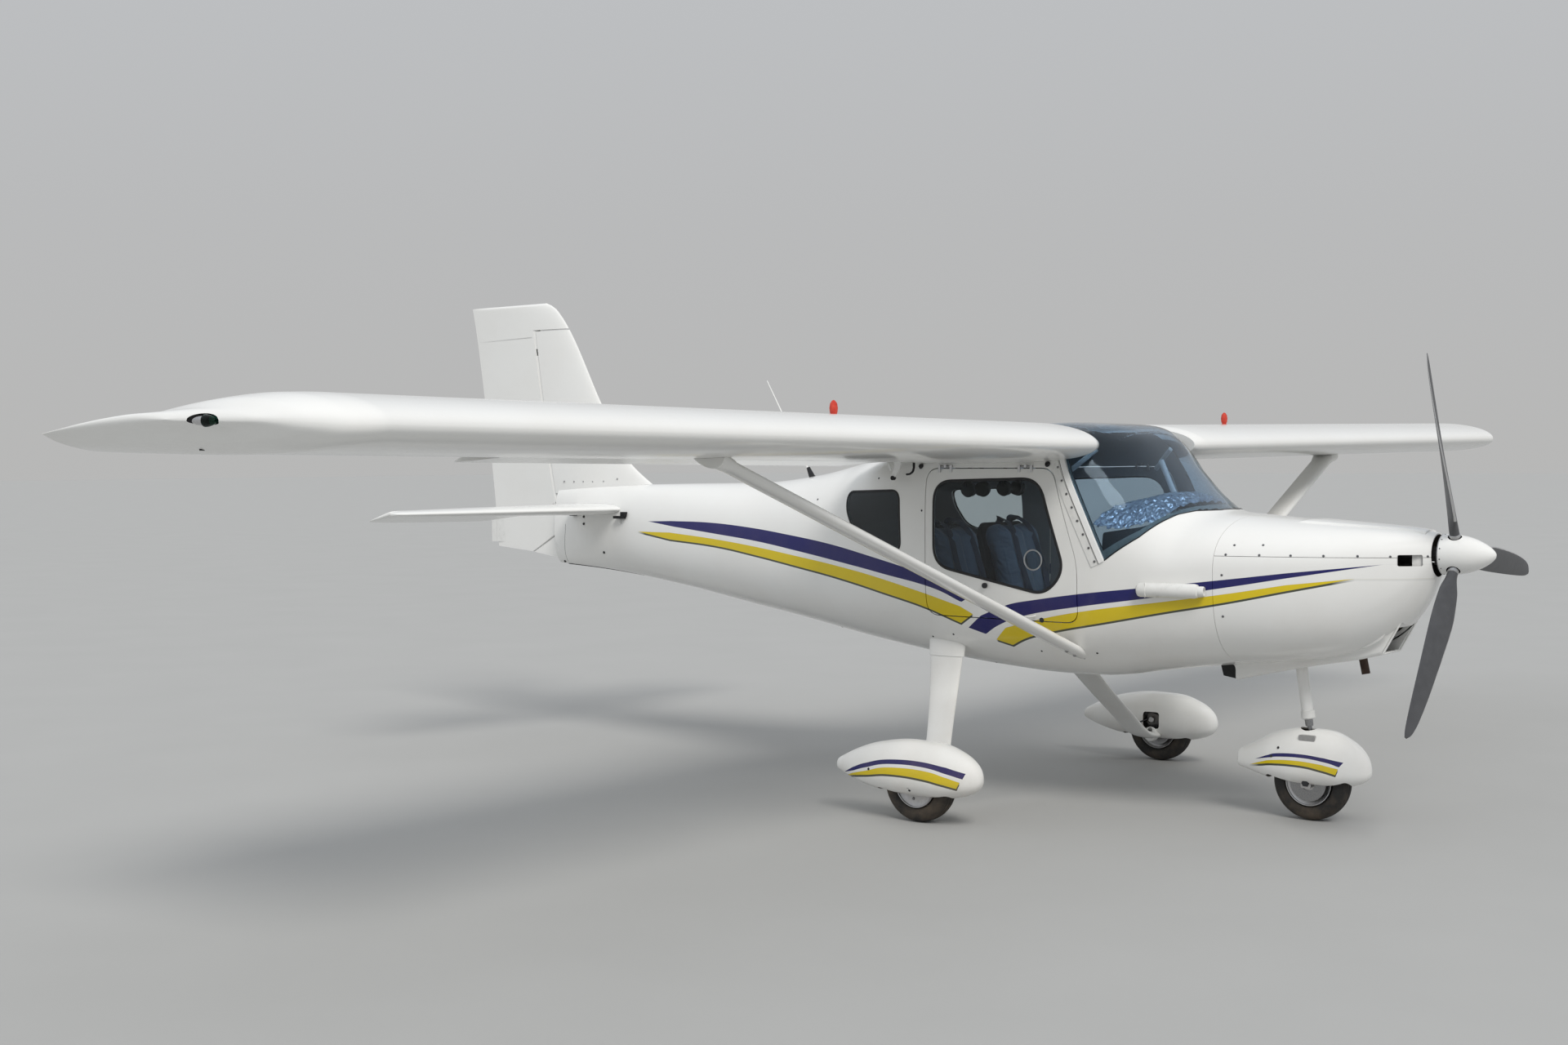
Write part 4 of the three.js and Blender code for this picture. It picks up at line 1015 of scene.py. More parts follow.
def make_door(name, s):
    body = f"{name}_door"

    def on_skin(profile, x, z, out, material, part, sides=28):
        finish(turned(profile, on_hull(x, z, s, out), hull_normal(x, z, s), material, f"{name}_{part}",
                      sides), body=body)

    skin = keep(hull(f"{name}_door_skin", *DOOR_RANGE, material=BODY_PAINT), side_tool(DOOR, s, 60))
    cut(skin, cabin_room(-500, 640), side_tool(DOOR_WINDOW, s, 90))
    finish(skin, body, body=body)
    pane = acrylic(f"{name}_door_pane", *DOOR_RANGE, SIDE_GLASS, side_tool(grow(DOOR_WINDOW, -0.3), s, 90))
    finish(pane, f"{name}_door_window", body=body)
    seal(f"{name}_door_window_seal", DOOR_WINDOW, 90, s, body)
    out, side, up = basis_along(hull_normal(*VENT_AT, s))
    ring = [on_hull(*VENT_AT, s, 1.5) + VENT_RADIUS * (side * math.cos(a) + up * math.sin(a))
            for a in circle(48)]
    finish(swept(ring, 3.4, ALLOY, f"{name}_vent_ring", 10, 1.0, True, out), body=body, degrees=60)
    on_skin([(0, 0), (0, 38), (2, 38), (3, 35), (3, 0)], *VENT_AT, -1, SIDE_GLASS, "vent_flap", 48)
    on_skin([(0, 0), (0, 9), (3, 9), (5, 12), (14, 12), (17, 9), (17, 0)], 0, 966, 0, DARK, "door_knob")
    grip = [on_hull(x, z, s, rise) for x, z, rise in
            ((150, 838, 2), (158, 838, 16), (172, 839, 22), (200, 841, 24), (228, 843, 22), (242, 844, 16),
             (250, 844, 2))]
    finish(swept(along(grip, 5), 6, PLAIN_WHITE, f"{name}_door_handle", 12, 0.7), body=body, degrees=50)
    on_skin([(0, 0), (0, 11), (2, 11), (3.5, 8), (3.5, 0)], 278, 826, 0, DARK, "door_lock")
    leaves = [block(x + end * 25, x + end * 37, s * 500, s * 528, HINGE_Z - 26, HINGE_Z + 6, ALLOY)
              for x in HINGE_X for end in (1, -1)]
    finish(join(f"{name}_door_hinge_leaves", *leaves), body=body)


for side in SIDES:
    make_door(*side)


# %% Hinge pins, quarter windows and their seals
def make_side_glazing(name, s):
    pane = acrylic(f"{name}_quarter_pane", -960, -380, SIDE_GLASS,
                   side_tool(grow(QUARTER_WINDOW, -0.3), s, 50))
    finish(pane, f"{name}_quarter_window")
    seal(f"{name}_quarter_seal", QUARTER_WINDOW, 50, s, width=11)
    pins = [rod((x - 24, s * HINGE_Y, HINGE_Z), (x + 24, s * HINGE_Y, HINGE_Z), 4, material=STEEL)
            for x in HINGE_X]
    arms = [block(x - 6, x + 6, s * 498, s * (HINGE_Y + 5), HINGE_Z - 5, HINGE_Z + 8, ALLOY)
            for x in HINGE_X]
    finish(join(f"{name}_door_hinge_pins", *pins, *arms))


for side in SIDES:
    make_side_glazing(*side)


# %% Windscreen, its base seal and the riveted side strips
def base_line():
    """The windscreen's lower edge as points in side view, up to the middle of the nose."""
    flat = [(x, z) for x, z in along(rounded(SCREEN_BASE[:-1] + [(925, 1298)], 0), 6)]
    return [(x, z) for x, z in flat if hull_y(x, z) > 12]


def make_windscreen():
    finish(acrylic("windscreen_sheet", -60, FIREWALL_X, TINTED, *screen_tools()), "windscreen")
    right, right_up = hull_line(base_line(), -1, 0.4)
    left, left_up = hull_line(base_line(), 1, 0.4)
    finish(swept(np.vstack([right, left[::-1]]), 3.0, RUBBER, "windscreen_base_seal", 8, 0.6,
                 lift=np.vstack([right_up, left_up[::-1]])), degrees=60)
    foot = np.array(SCREEN_BASE[0]) - (1, 4)
    head = foot + (POST_LEAN * 500, 504)
    for name, s in SIDES:
        finish(join(f"{name}_windscreen_strips", plate(foot, head, 24, s, WHITER_AND_LIT, 7.0),
                    plate(foot - (27, 13), head - (27, 13), 34, s, PLAIN_WHITE, 3.0)))
        lines = []
        for off, out in ((25, 2.2), (62, 0.2)):
            path, lifts = hull_line(along([foot - (off * 0.9, off * 0.44), head - (off * 0.9, off * 0.44)],
                                          14), s, out)
            lines.append(swept(path, 1.6, RUBBER, sides=8, flat=0.7, lift=lifts))
        finish(join(f"{name}_windscreen_strip_gaps", *lines), degrees=60)
        spots = [foot + (head - foot) * t - (34, 17) for t in np.linspace(0.03, 0.93, 9)]
        screws(f"{name}_windscreen_strip_screws", side_spots(spots, s, 3.4), 6.0, 2.2)


make_windscreen()
CABIN_SCREWS = [(-352, 1290), (-217, 734), (-351, 715), (-110, 599), (235, 684), (334, 750), (401, 734),
                (430, 662)]
for SIDE_NAME, SIDE in SIDES:
    screws(f"{SIDE_NAME}_cabin_screws", side_spots(CABIN_SCREWS, SIDE), 5, 1.4, DARK)

# %% [markdown]
# The cowlings are two thin shells that part along a level line, held by quarter-turn studs. They are
# the hull again, six millimetres thick, cut along the line with a joint that shows as a fine dark gap.
# The cooling inlets have an inner duct wall that catches the light, and the air scoop under the chin is
# its own loft: a rounded box that flares into the cowling with a fillet along each side.

# %% Cowlings
COWL_SPLIT_Z, COWL_WALL, SEAM = 1120.0, 6.0, 1.8
INLET = [(1706, 1086), (1782, 1086), (1782, 1131), (1706, 1131)]
DUCT_HALF = 90.0
DUCT_BELOW = [(966, 573), (1122, 612), (1316, 656), (1513, 694), (1604, 718), (1690, 869)]
DUCT_MOUTH = [(1470, 700), (1610, 730), (1740, 730), (1720, 832), (1668, 832), (1470, 800)]
DUCT_OUTLET = [(930, 579), (1112, 622), (1160, 640), (1160, 800), (930, 800)]
NOSE_LEG_TOP, NOSE_PIVOT = (1191, 0, 860), (1262, 0, 372)


def cowl_shell(name, z0, z1):
    shell = hull(name, FIREWALL_X + SEAM, NOSE_X, step=9, material=BODY_PAINT)
    cut(shell, hull("tool", FIREWALL_X - 10, NOSE_X + 20, COWL_WALL, 12, 120, RAW))
    keep(shell, block(1000, 1900, -600, 600, z0, z1))
    return cut(shell, *(prism(INLET, s * 60, s * 300, 7) for _, s in SIDES))


def make_cowlings():
    finish(cowl_shell("upper_cowl", COWL_SPLIT_Z + SEAM / 2, 1400), "upper_cowling")
    lower = cowl_shell("lower_cowl", 500, COWL_SPLIT_Z - SEAM / 2)
    # The scoop opening's walls are near-black: painted shade inside the cowling.
    cut(lower, block(1480, 1690, -84, 84, 600, 880, BLACK_AND_SHADE), rod(NOSE_PIVOT, NOSE_LEG_TOP, 29),
        rod((1394, 135, 900), (1448, 135, 612), 25))
    finish(lower, "lower_cowling")
    for name, s in SIDES:
        inner = [(x, s * (hull_y(x, 1108) - off), z) for x, off in ((1742, 34), (1790, 9))
                 for z in (1080, 1137)]
        back = [(x, y - s * 3, z) for x, y, z in inner]
        order = [(0, 1, 3, 2), (4, 6, 7, 5), (0, 4, 5, 1), (2, 3, 7, 6), (0, 2, 6, 4), (1, 5, 7, 3)]
        finish(solid(f"{name}_inlet_wall", inner + back, order, PLAIN_WHITE))
    panel = []
    for x in np.linspace(1262, 1772, 40):
        shut = math.sin(min(1, (x - 1262) / 40) * math.pi / 2)
        half = np.interp(x, (1262, 1772), (150, 62))
        outer = [(x, y * half, hull_top(x, y * half) + 7 * shut * min(1, (1 - abs(y)) * 12))
                 for y in np.linspace(-1, 1, 25)]
        panel.append(outer + [(x, y * half, hull_top(x, y * half) - 3) for y in np.linspace(1, -1, 25)])
    finish(solid("upper_cowl_panel", *loft(panel), GELCOAT))


make_cowlings()


# %% Chin scoop and belly duct
def duct_ring(x, corner=18.0, flare=26.0):
    floor = float(np.interp(x, *np.array(DUCT_BELOW, float).T))
    rise = max(hull_floor(x, DUCT_HALF) - flare, floor + corner + 1)
    turns = np.linspace(0, math.pi / 2, 7)
    half = [(DUCT_HALF * t, floor) for t in (0, 0.4, 0.7)]
    half += [(DUCT_HALF - corner + corner * math.sin(a), floor + corner - corner * math.cos(a))
             for a in turns]
    half += [(DUCT_HALF + flare - flare * math.cos(a), rise + flare * math.sin(a)) for a in turns]
    half += [(DUCT_HALF + flare, rise + flare + 22), (0, rise + flare + 22)]
    return [(x, y, z) for y, z in half] + [(x, -y, z) for y, z in half[-2:0:-1]]


def make_duct():
    inside = DUCT_HALF - COWL_WALL
    duct = solid("chin_duct", *loft([duct_ring(x) for x in np.linspace(966, 1686, 90)]), GELCOAT)
    # The mouth's walls are white; the outlet's walls are near-black, painted shade inside the duct.
    cut(duct, prism(DUCT_MOUTH, -inside, inside, 0, PLAIN_WHITE),
        prism(DUCT_OUTLET, -inside, inside, 0, BLACK_AND_SHADE))
    finish(duct, "belly_duct")
    core = [block(1474 + 3 * i, 1475.4 + 3 * i, -84, 84, 696 + i, 800, DARK) for i in range(2)]
    core += [block(1470, 1486, y - 1, y + 1, 698, 800, DARK) for y in range(-78, 84, 12)]
    # The near-black plate behind the core is painted shade.
    finish(join("scoop_radiator_core", *core, block(1462, 1468, -84, 84, 700, 860, BLACK_AND_SHADE)))
    finish(prism([(964, 579), (905, 588), (893, 632), (900, 640), (964, 648)], -80, 80, 4, BLACK_AND_SHADE,
                 "duct_outlet_lip"))
    lips = [(f"{name}_scoop_lip", 6, [(1612, s * 87, 726), (1640, s * 87, 776), (1668, s * 87, 826),
                                      (1684, s * 87, 855)]) for name, s in SIDES]
    lips.append(("lower_scoop_lip", 8, [(1610, y, 724) for y in (-88, -40, 0, 40, 88)]))
    for name, step, places in lips:
        finish(swept(along(places, step), 4.2, GELCOAT, name, 10), degrees=60)
    pipe = rod((1394, 135, 870), (1448, 135, 612), 17.5, 17.5, BURNT, "exhaust_stub", 40)
    finish(cut(pipe, rod((1421, 135, 742), (1450, 135, 602), 15, 15, BLACK_AND_SHADE)), "exhaust_pipe")


make_duct()
COWL_STUDS = [(1088, 1126), (1220, 1126), (1339, 1126), (1459, 1126), (1577, 1126), (1078, 1043),
              (1076, 873), (1112, 1164), (1224, 1166), (1685, 1124), (1796, 1124)]
for SIDE_NAME, SIDE in SIDES:
    screws(f"{SIDE_NAME}_cowl_studs", side_spots(COWL_STUDS, SIDE), 5.5, 1.4)

# %% [markdown]
# Wings and tail share one aerofoil formula. The skins are lofted densely along the chord, with rows
# close together where the tip sweeps back, so the highlight runs clean along the leading edge. Flaps,
# ailerons, rudder and elevator are cut out of the same blanks, with a round nose and an even gap, so
# they sit flush at rest and turn freely in their rooms.

# %% Aerofoil and blanks
WING_Z, WING_DROP, DIHEDRAL, WING_ROOT, WING_CHORD = 1579.0, 64.0, 0.0123, 430.0, 1311.0
CAMBER, CAMBER_AT = 0.025, 0.4
WING = [(430, 500, 1270, 0.115, 0), (500, 526, 1311, 0.13, 0), (4240, 526, 1311, 0.13, 0),
        (4330, 490, 1275, 0.134, -2), (4410, 400, 1187, 0.108, 5), (4470, 230, 1020, 0.05, 14),
        (4515, -130, 665, 0.034, 19)]
CHORD_STATIONS = 0.5 - 0.5 * np.cos(np.linspace(math.pi, 0, 44))


def aerofoil(ratio, cambered):
    """Pairs of (distance aft, height) for a unit chord, over the top and back below."""
    at = CHORD_STATIONS
    half = 5 * ratio * (0.2969 * np.sqrt(at) - 0.126 * at - 0.3516 * at ** 2 + 0.2843 * at ** 3
                        - 0.1036 * at ** 4) + 0.0012
    ahead = CAMBER / CAMBER_AT ** 2 * (2 * CAMBER_AT * at - at ** 2)
    behind = CAMBER / (1 - CAMBER_AT) ** 2 * (1 - 2 * CAMBER_AT + 2 * CAMBER_AT * at - at ** 2)
    line = np.where(at < CAMBER_AT, ahead, behind) * cambered
    top = np.column_stack([at, line + half])
    low = np.column_stack([at, line - half])[::-1]
    return np.vstack([top, low[1:]]) if half[-1] < 1e-6 else np.vstack([top, low[:-1]])


def wing_blank(s, extra=0.0, name="tool"):
    steps = [np.linspace(430, 500, 5)[:-1], np.linspace(500, 4200, 16)[:-1],
             np.linspace(4200, 4505, 62)[:-1], np.linspace(4505, 4514.9, 8)]
    rings = []
    for y, lead, chord, ratio, rise in monotone(np.concatenate(steps), WING):
        if y > 4505:
            ratio *= math.sqrt(max(0.03, 1 - ((y - 4505) / 10) ** 2))
        lift = wing_z(y) + rise
        ratio += 2 * extra / chord
        rings.append([(lead + extra - aft * (chord + 2 * extra), s * y,
                       lift - aft * WING_DROP * chord / WING_CHORD + up * chord)
                      for aft, up in aerofoil(ratio, True)])
    return solid(name, *loft(rings), GELCOAT)


def wing_z(y, base=WING_Z):
    """A height that climbs towards the tip with the wing."""
    return base + DIHEDRAL * (y - WING_ROOT)


# %% Hinge lines
HINGE_RUN = 6.0


def hinge_line(start, end, aft, nose, lip, height, depth, arms):
    """The tools and the arms of one moving surface that turns about the line from start to end."""
    start, back = np.asarray(start, float), unit(aft)
    length = np.linalg.norm(end - start)
    axis = (end - start) / length
    up = np.cross(axis, back)

    def bar(flat, near, far, name="tool", material=GELCOAT):
        return prism(flat, near, far, 0, material, name, lambda u, v,
                     w: start + back * u + up * v + axis * w)

    def surface(radius, edge, reach):
        corner = math.acos(max(-1, min(1, edge / radius)))
        arc = [(radius * math.cos(a), radius * math.sin(a))
               for a in np.linspace(corner, 2 * math.pi - corner, 28)]
        return [(edge, -height), (reach, -height), (reach, height), (edge, height), *arc]

    def rect(u0, u1, v):
        return [(u0, -v), (u1, -v), (u1, v), (u0, v)]

    spots = [fraction * length for fraction in arms]
    clear = nose * 0.62 + 8.5
    carriers = [bar(rect(-nose - HINGE_RUN - 14, 6, 6), s - 5, s + 5, "arm", ALLOY) for s in spots]
    carriers += [rod(start + axis * (s - 19.7), start + axis * (s + 19.7), 5, material=STEEL) for s in spots]
    return {"moving": bar(surface(nose, 0, depth), 0, length),
            "room": bar(surface(nose + HINGE_RUN, -lip * nose, depth + 30), -HINGE_RUN, length + HINGE_RUN),
            "notches": [bar(rect(-nose - 1, 13, clear), s - 20, s + 20) for s in spots],
            "carriers": carriers}


def turned_about(obj, point, axis, degrees):
    """The mesh turned round an axis through a point."""
    middle = Vector(metres([point])[0])
    turn = Matrix.Rotation(math.radians(degrees), 4, Vector(axis))
    obj.data.transform(Matrix.Translation(middle) @ turn @ Matrix.Translation(-middle))
    return obj


# %% Wings, flaps and ailerons
FLAP_HINGE_X, FLAP_HINGE_Z, FLAP_NOSE, FLAP_DROOP = -512.0, 1532.0, 37.0, 5.0
FLAP_SPAN, AILERON_SPAN = (610, 2900), (2912, 4190)
STRUT_LOW, STRUT_HIGH = np.array((408, 425, 678.0)), np.array((203, 2570, 1530.0))


def wing_line(s, span, arms, lip):
    ends = [(FLAP_HINGE_X, s * y, wing_z(y, FLAP_HINGE_Z)) for y in span]
    return hinge_line(*ends, (-1, 0, 0), FLAP_NOSE, lip, 90, 400, arms)


def make_wing(name, s):
    flap_line = wing_line(s, FLAP_SPAN, (0.04, 0.5, 0.96), 0.55)
    aileron_line = wing_line(s, AILERON_SPAN, (0.1, 0.9), 0.72)
    wing = cut(wing_blank(s, name=f"{name}_wing_skin"), flesh(-1100, 640), flap_line["room"],
               aileron_line["room"], tip_lamp_shape(s, 1.0, BLACK_AND_SHADE))
    finish(wing, f"{name}_wing", degrees=35)
    finish(join(f"{name}_wing_hinge_arms", *flap_line["carriers"], *aileron_line["carriers"]))
    for line, part in ((flap_line, f"{name}_flap"), (aileron_line, f"{name}_aileron")):
        surface = keep(wing_blank(s, name=f"{part}_skin"), line["moving"])
        cut(surface, *line["notches"])
        if line is flap_line:
            inner = (FLAP_HINGE_X, s * FLAP_SPAN[0], wing_z(FLAP_SPAN[0], FLAP_HINGE_Z))
            turned_about(surface, inner, unit((0, s, DIHEDRAL)), -s * FLAP_DROOP)
        finish(surface, part, body=part)


def make_strut(name, s):
    run = STRUT_HIGH - STRUT_LOW
    along_y, along_z = unit(run[1:])
    rings = []
    for t, chord, fat in ((0.0, 116, 1), (0.965, 116, 1), (0.968, 122, 1.1), (0.985, 132, 1.2),
                          (1.0, 146, 1.45)):
        x, y, z = STRUT_LOW + run * t
        rings.append([(x + (0.4 - aft) * chord, s * (y - along_z * up * chord * fat),
                       z + along_y * up * chord * fat) for aft, up in aerofoil(0.36, False)])
    strut = solid(f"{name}_strut_tube", *loft(rings), GELCOAT)
    finish(cut(strut, flesh(100, 700), wing_blank(s, 0.3)), f"{name}_strut", degrees=40)
    mirror, out = np.array((1, s, 1)), np.array((0, along_z, -along_y))
    spots = [((STRUT_LOW + run * t + (6, 0, 0) + out * 21.2 * face) * mirror, out * face * mirror)
             for t in (0.022, 0.048) for face in (1, -1)]
    screws(f"{name}_strut_bolts", spots, 8, 5, recess=0.2)


def tip_lamp_shape(s, size, material, name="tool", from_t=-1.0, to_t=1.0):
    """A slim egg along the swept leading edge of the tip: the recess, or at a smaller size its lamp."""
    first, middle, last = monotone((4489, 4497, 4504), WING)
    profile = [(68 * t * size, max(0.05, 22 * size * math.sqrt(max(0, 1 - t * t))))
               for t in np.linspace(from_t, to_t, 25)]
    return turned(profile, (middle[1] - 2, s * middle[0], wing_z(4497) + 13),
                  (last[1] - first[1], s * (last[0] - first[0]), 0.0), material, name, 32)


def make_wing_fittings(name, s):
    glass = tinted(f"{name}_lamp_glass", (0.6, 0.05, 0.04) if s > 0 else (0.03, 0.22, 0.14), 0.05)
    finish(tip_lamp_shape(s, 0.86, glass, f"{name}_position_lamp", -0.98, -0.25))
    finish(tip_lamp_shape(s, 0.6, ALLOY, f"{name}_position_lamp_base", -0.2, 0.98))
    x, y = 30, 1660
    top = wing_z(y) - (526 - x) / WING_CHORD * WING_DROP + 0.0245 * WING_CHORD + 83
    profile = [(-14, 34), (3, 34), (5, 30), (9, 13), (14, 11), (22, 15), (40, 17), (58, 14), (68, 7),
               (72, 0)]
    finish(turned(profile, (x, s * y, top), (0, 0, 1), RED, f"{name}_fuel_vent_cap", 32), degrees=50)
    finish(rod((-150, s * 4380, 1560), (-150, s * 4380, 1610), 9, 12, DARK, f"{name}_tip_drain", 20))


RED = grained("faded_red_cap", MOULDED, (0.5, 0.035, 0.02), (0.62, 0.07, 0.04), 60, 0.55)
for side in SIDES:
    make_wing(*side)
    make_strut(*side)
    make_wing_fittings(*side)

# %% [markdown]
# The tail. The fin grows out of the cone with a dorsal curve; the rudder carries a horn that reaches
# over the fin's top, parted by a thin dark gap. The stabilizer passes through the cone in one piece
# and the elevator hangs a little, as it does with nobody at the stick.

# %% Fin and rudder
VERTICAL_TAIL = [(985, -2900, -3772, 40), (1340, -2440, -3808, 62), (1400, -2545, -3816, 64),
                 (1515, -2705, -3830, 66), (1830, -2914, -3878, 60), (2270, -3174, -3952, 48),
                 (2348, -3238, -3968, 44), (2395, -3290, -3979, 40), (2421, -3350, -3985, 36)]
HORN_Z = 2270.0


def tail_blank(name="tool"):
    rows = np.concatenate([np.linspace(985, 2405, 70), np.linspace(2407, 2421, 8)])
    rings = []
    for z, lead, trail, thick in monotone(rows, VERTICAL_TAIL):
        thick *= math.sqrt(max(0.06, 1 - max(0, (z - 2405) / 16.2) ** 2))
        chord = lead - trail
        rings.append([(lead - aft * chord, up * chord, z) for aft, up in aerofoil(thick / chord, False)])
    return solid(name, *loft(rings), GELCOAT)


RUDDER_LINE = hinge_line((-3233.4, 0, 1018), (-3440.7, 0, 2267), (-0.986, 0, -0.1637), 24, 0.85, 60, 800,
                         (0.2, 0.55, 0.9))


def make_vertical_tail():
    head = [(-3440, HORN_Z - 6), (-4050, HORN_Z - 120), (-4050, 2460), (-3440, 2460)]
    foot = [(-3900, 1036), (-3471, 1003), (-3252, 1118), (-3100, 1118), (-3100, 900), (-3900, 900)]
    region = boolean(RUDDER_LINE["moving"], "UNION", block(-3470, -3100, -80, 80, HORN_Z, 2460, GELCOAT),
                     prism(head, -80, 80, 0, GELCOAT))
    rudder = keep(tail_blank("rudder_skin"), region)
    cut(rudder, prism(foot, -80, 80, 0, GELCOAT), *RUDDER_LINE["notches"])
    for low in (2226, 2229):
        groove = prism([(-4100, low - 12), (-3452, low + 1), (-3452, low + 2.6), (-4100, low - 10.4)],
                       -80, 80, 0, BLACK_AND_SHADE)
        core = tail_blank()
        core.data.transform(Matrix.Diagonal((1, 0.955, 1, 1)))
        cut(rudder, cut(groove, core))
    finish(rudder, "rudder", body="rudder")
    tab = [block(-3790, -3700, s * 1.0, s * 4.6, 1052, 1240, PLAIN_WHITE) for _, s in SIDES]
    finish(join("rudder_trim_tab", *tab, block(-3835, -3795, -1.2, 1.2, 1052, 1240, PLAIN_WHITE)),
           body="rudder")
    fin = cut(tail_blank("fin_skin"), prism(head, -80, 80), block(-4100, -3000, -80, 80, HORN_Z - 8, 2500),
              hull("tool", TAIL_X, -2000, -0.3), block(-3400, -2300, -80, 80, 900, 1340))
    cut(fin, copied(RUDDER_LINE["room"], "tool"))
    cut(FUSELAGE_SKIN, RUDDER_LINE["room"])
    finish(fin, "fin")
    finish(join("rudder_hinge_arms", *RUDDER_LINE["carriers"]))


make_vertical_tail()

# %% Stabilizer and elevator
TAILPLANE_Z, ELEVATOR_X, ELEVATOR_DROOP = 1256.0, -3066.0, 14.0
TAILPLANE = [(0, -2615, -3352, 62), (1250, -2925, -3270, 34), (1340, -2955, -3250, 28),
             (1385, -2990, -3225, 18)]


def tailplane_blank(extra=0.0, name="tool", material=GELCOAT):
    half = monotone(np.concatenate([np.linspace(0, 1200, 12)[:-1], np.linspace(1200, 1378, 24)[:-1],
                                    np.linspace(1378, 1384.8, 6)]), TAILPLANE)
    rings = []
    for y, lead, trail, thick in [*(half[:0:-1] * (-1, 1, 1, 1)), *half]:
        thick *= math.sqrt(max(0.05, 1 - max(0, (abs(y) - 1378) / 7) ** 2))
        chord = lead - trail + 2 * extra
        rings.append([(lead + extra - aft * chord, y, TAILPLANE_Z + up * chord)
                      for aft, up in aerofoil((thick + 2 * extra) / chord, False)])
    return solid(name, *loft(rings), material)


def torque_tube(radius, material):
    return rod((ELEVATOR_X, -430, TAILPLANE_Z), (ELEVATOR_X, 430, TAILPLANE_Z), radius, material=material)


def make_tailplane():
    line = hinge_line((ELEVATOR_X, -1400, TAILPLANE_Z), (ELEVATOR_X, 1400, TAILPLANE_Z), (-1, 0, 0), 17,
                      0.95, 50, 500, (0.12, 0.3, 0.7, 0.88))
    finish(cut(tailplane_blank(0, "stabilizer_skin"), line["room"],
               block(ELEVATOR_X - 400, ELEVATOR_X - 10, -480, 480, 1200, 1320)), "stabilizer")
    finish(join("elevator_hinge_arms", *line["carriers"]))
    elevator = keep(tailplane_blank(0, "elevator_skin"), line["moving"])
    away = [(-3000, -405), (-3128, -425), (-3400, -585), (-3400, 585), (-3128, 425), (-3000, 405)]
    cut(elevator, prism(away, 1100, 1400, 0, GELCOAT, place=from_above), *line["notches"])
    elevator = join("elevator_surface", elevator, torque_tube(12, PLAIN_WHITE))
    turned_about(elevator, (ELEVATOR_X, 0, TAILPLANE_Z), (0, 1, 0), -ELEVATOR_DROOP)
    finish(elevator, "elevator", body="elevator")
    cut(FUSELAGE_SKIN, tailplane_blank(0.3, material=DARK), torque_tube(18, BLACK_AND_SHADE))
    finish(prism([(-3200, 1098), (-3266, 1098), (-3450, 1001), (-3262, 974), (-3200, 974)], -22, 22, 6,
                 GELCOAT, "tail_cone_tip"))


make_tailplane()


# %% Brackets and rivets of the tail
def make_tail_details(name, s):
    places = [(-3135, 1168), (-3136, 1130), (-3158, 1000), (-3162, 955)]
    path, lifts = hull_line(along(places, 10), s, 0.15)
    finish(swept(path, 1, DARK, f"{name}_cone_seam", 8, 0.5, lift=lifts), degrees=50)
    bracket = [block(x0, x1, s * y0, s * y1, z0, z1, BLACK_AND_SHADE) for x0, x1, y0, y1, z0, z1 in
               ((-2660, -2585, 128, 178, 1208, 1222), (-2612, -2580, 138, 172, 1218, 1244),
                (-3070, -3030, 78, 108, 1216, 1232))]
    finish(join(f"{name}_stabilizer_bracket", *bracket))
    finish(rod((-2632, s * 152, 1180), (-2632, s * 152, 1212), 10, 9, PLAIN_WHITE,
               f"{name}_stabilizer_bolt", 20))
    screws(f"{name}_cone_bolts", side_spots([(-2965, 1211), (-2962, 1172), (-3190, 955), (-2794, 1018)], s),
           8, 5, DARK, 0.2)
    rivets = [((x, s * 31.5, z), (0, s, 0.05)) for x, z in
              ((-3190, 1405), (-3110, 1405), (-3035, 1405), (-2960, 1405), (-2875, 1407), (-2770, 1420))]
    screws(f"{name}_dorsal_rivets", rivets, 6, 2.5, ALLOY, 0.1)


for side in SIDES:
    make_tail_details(*side)
KEEL = [(x, 0, hull_row(x)[0] - 1) for x in np.linspace(-3185, -2600, 40)]
finish(swept(KEEL, 7, DARK, "tail_cone_keel_strip", 10, 0.5))
finish(FUSELAGE_SKIN, "cabin_shell", "tail_cone")

# %% [markdown]
# Wheel pants are thin laminate shells. Each is lofted from a round nose to a blunt tail; the rows
# crowd together at the nose by an arc, which keeps it round. The inside is the same shape, six
# millimetres smaller, in raw laminate, and a mouth is cut underneath for the tyre.

# %% Wheel pants
TYRE_RADIUS = 162.0
PANT_SHAPE = [(1, 0.1, 0.08, 0.12), (0.92, 0.5, 0.42, 0.46), (0.68, 0.82, 0.76, 0.8), (0.3, 1, 0.98, 1),
              (-0.08, 1, 1, 1), (-0.46, 0.84, 0.84, 0.84), (-0.78, 0.52, 0.5, 0.52), (-1, 0.18, 0.16, 0.14)]
MAIN_PANT = {"front": 306, "rear": 446, "below": 95, "above": 142, "half": 105, "level": 200}
NOSE_PANT = {"front": 254, "rear": 340, "below": 80, "above": 164, "half": 95, "level": 222}
PANT_WALL = 6.0


def bow(at):
    """A length along the pant turned into an angle at the nose, so that the nose comes out round."""
    return math.asin(min(1, at)) if at > 0 else at * math.pi / 2


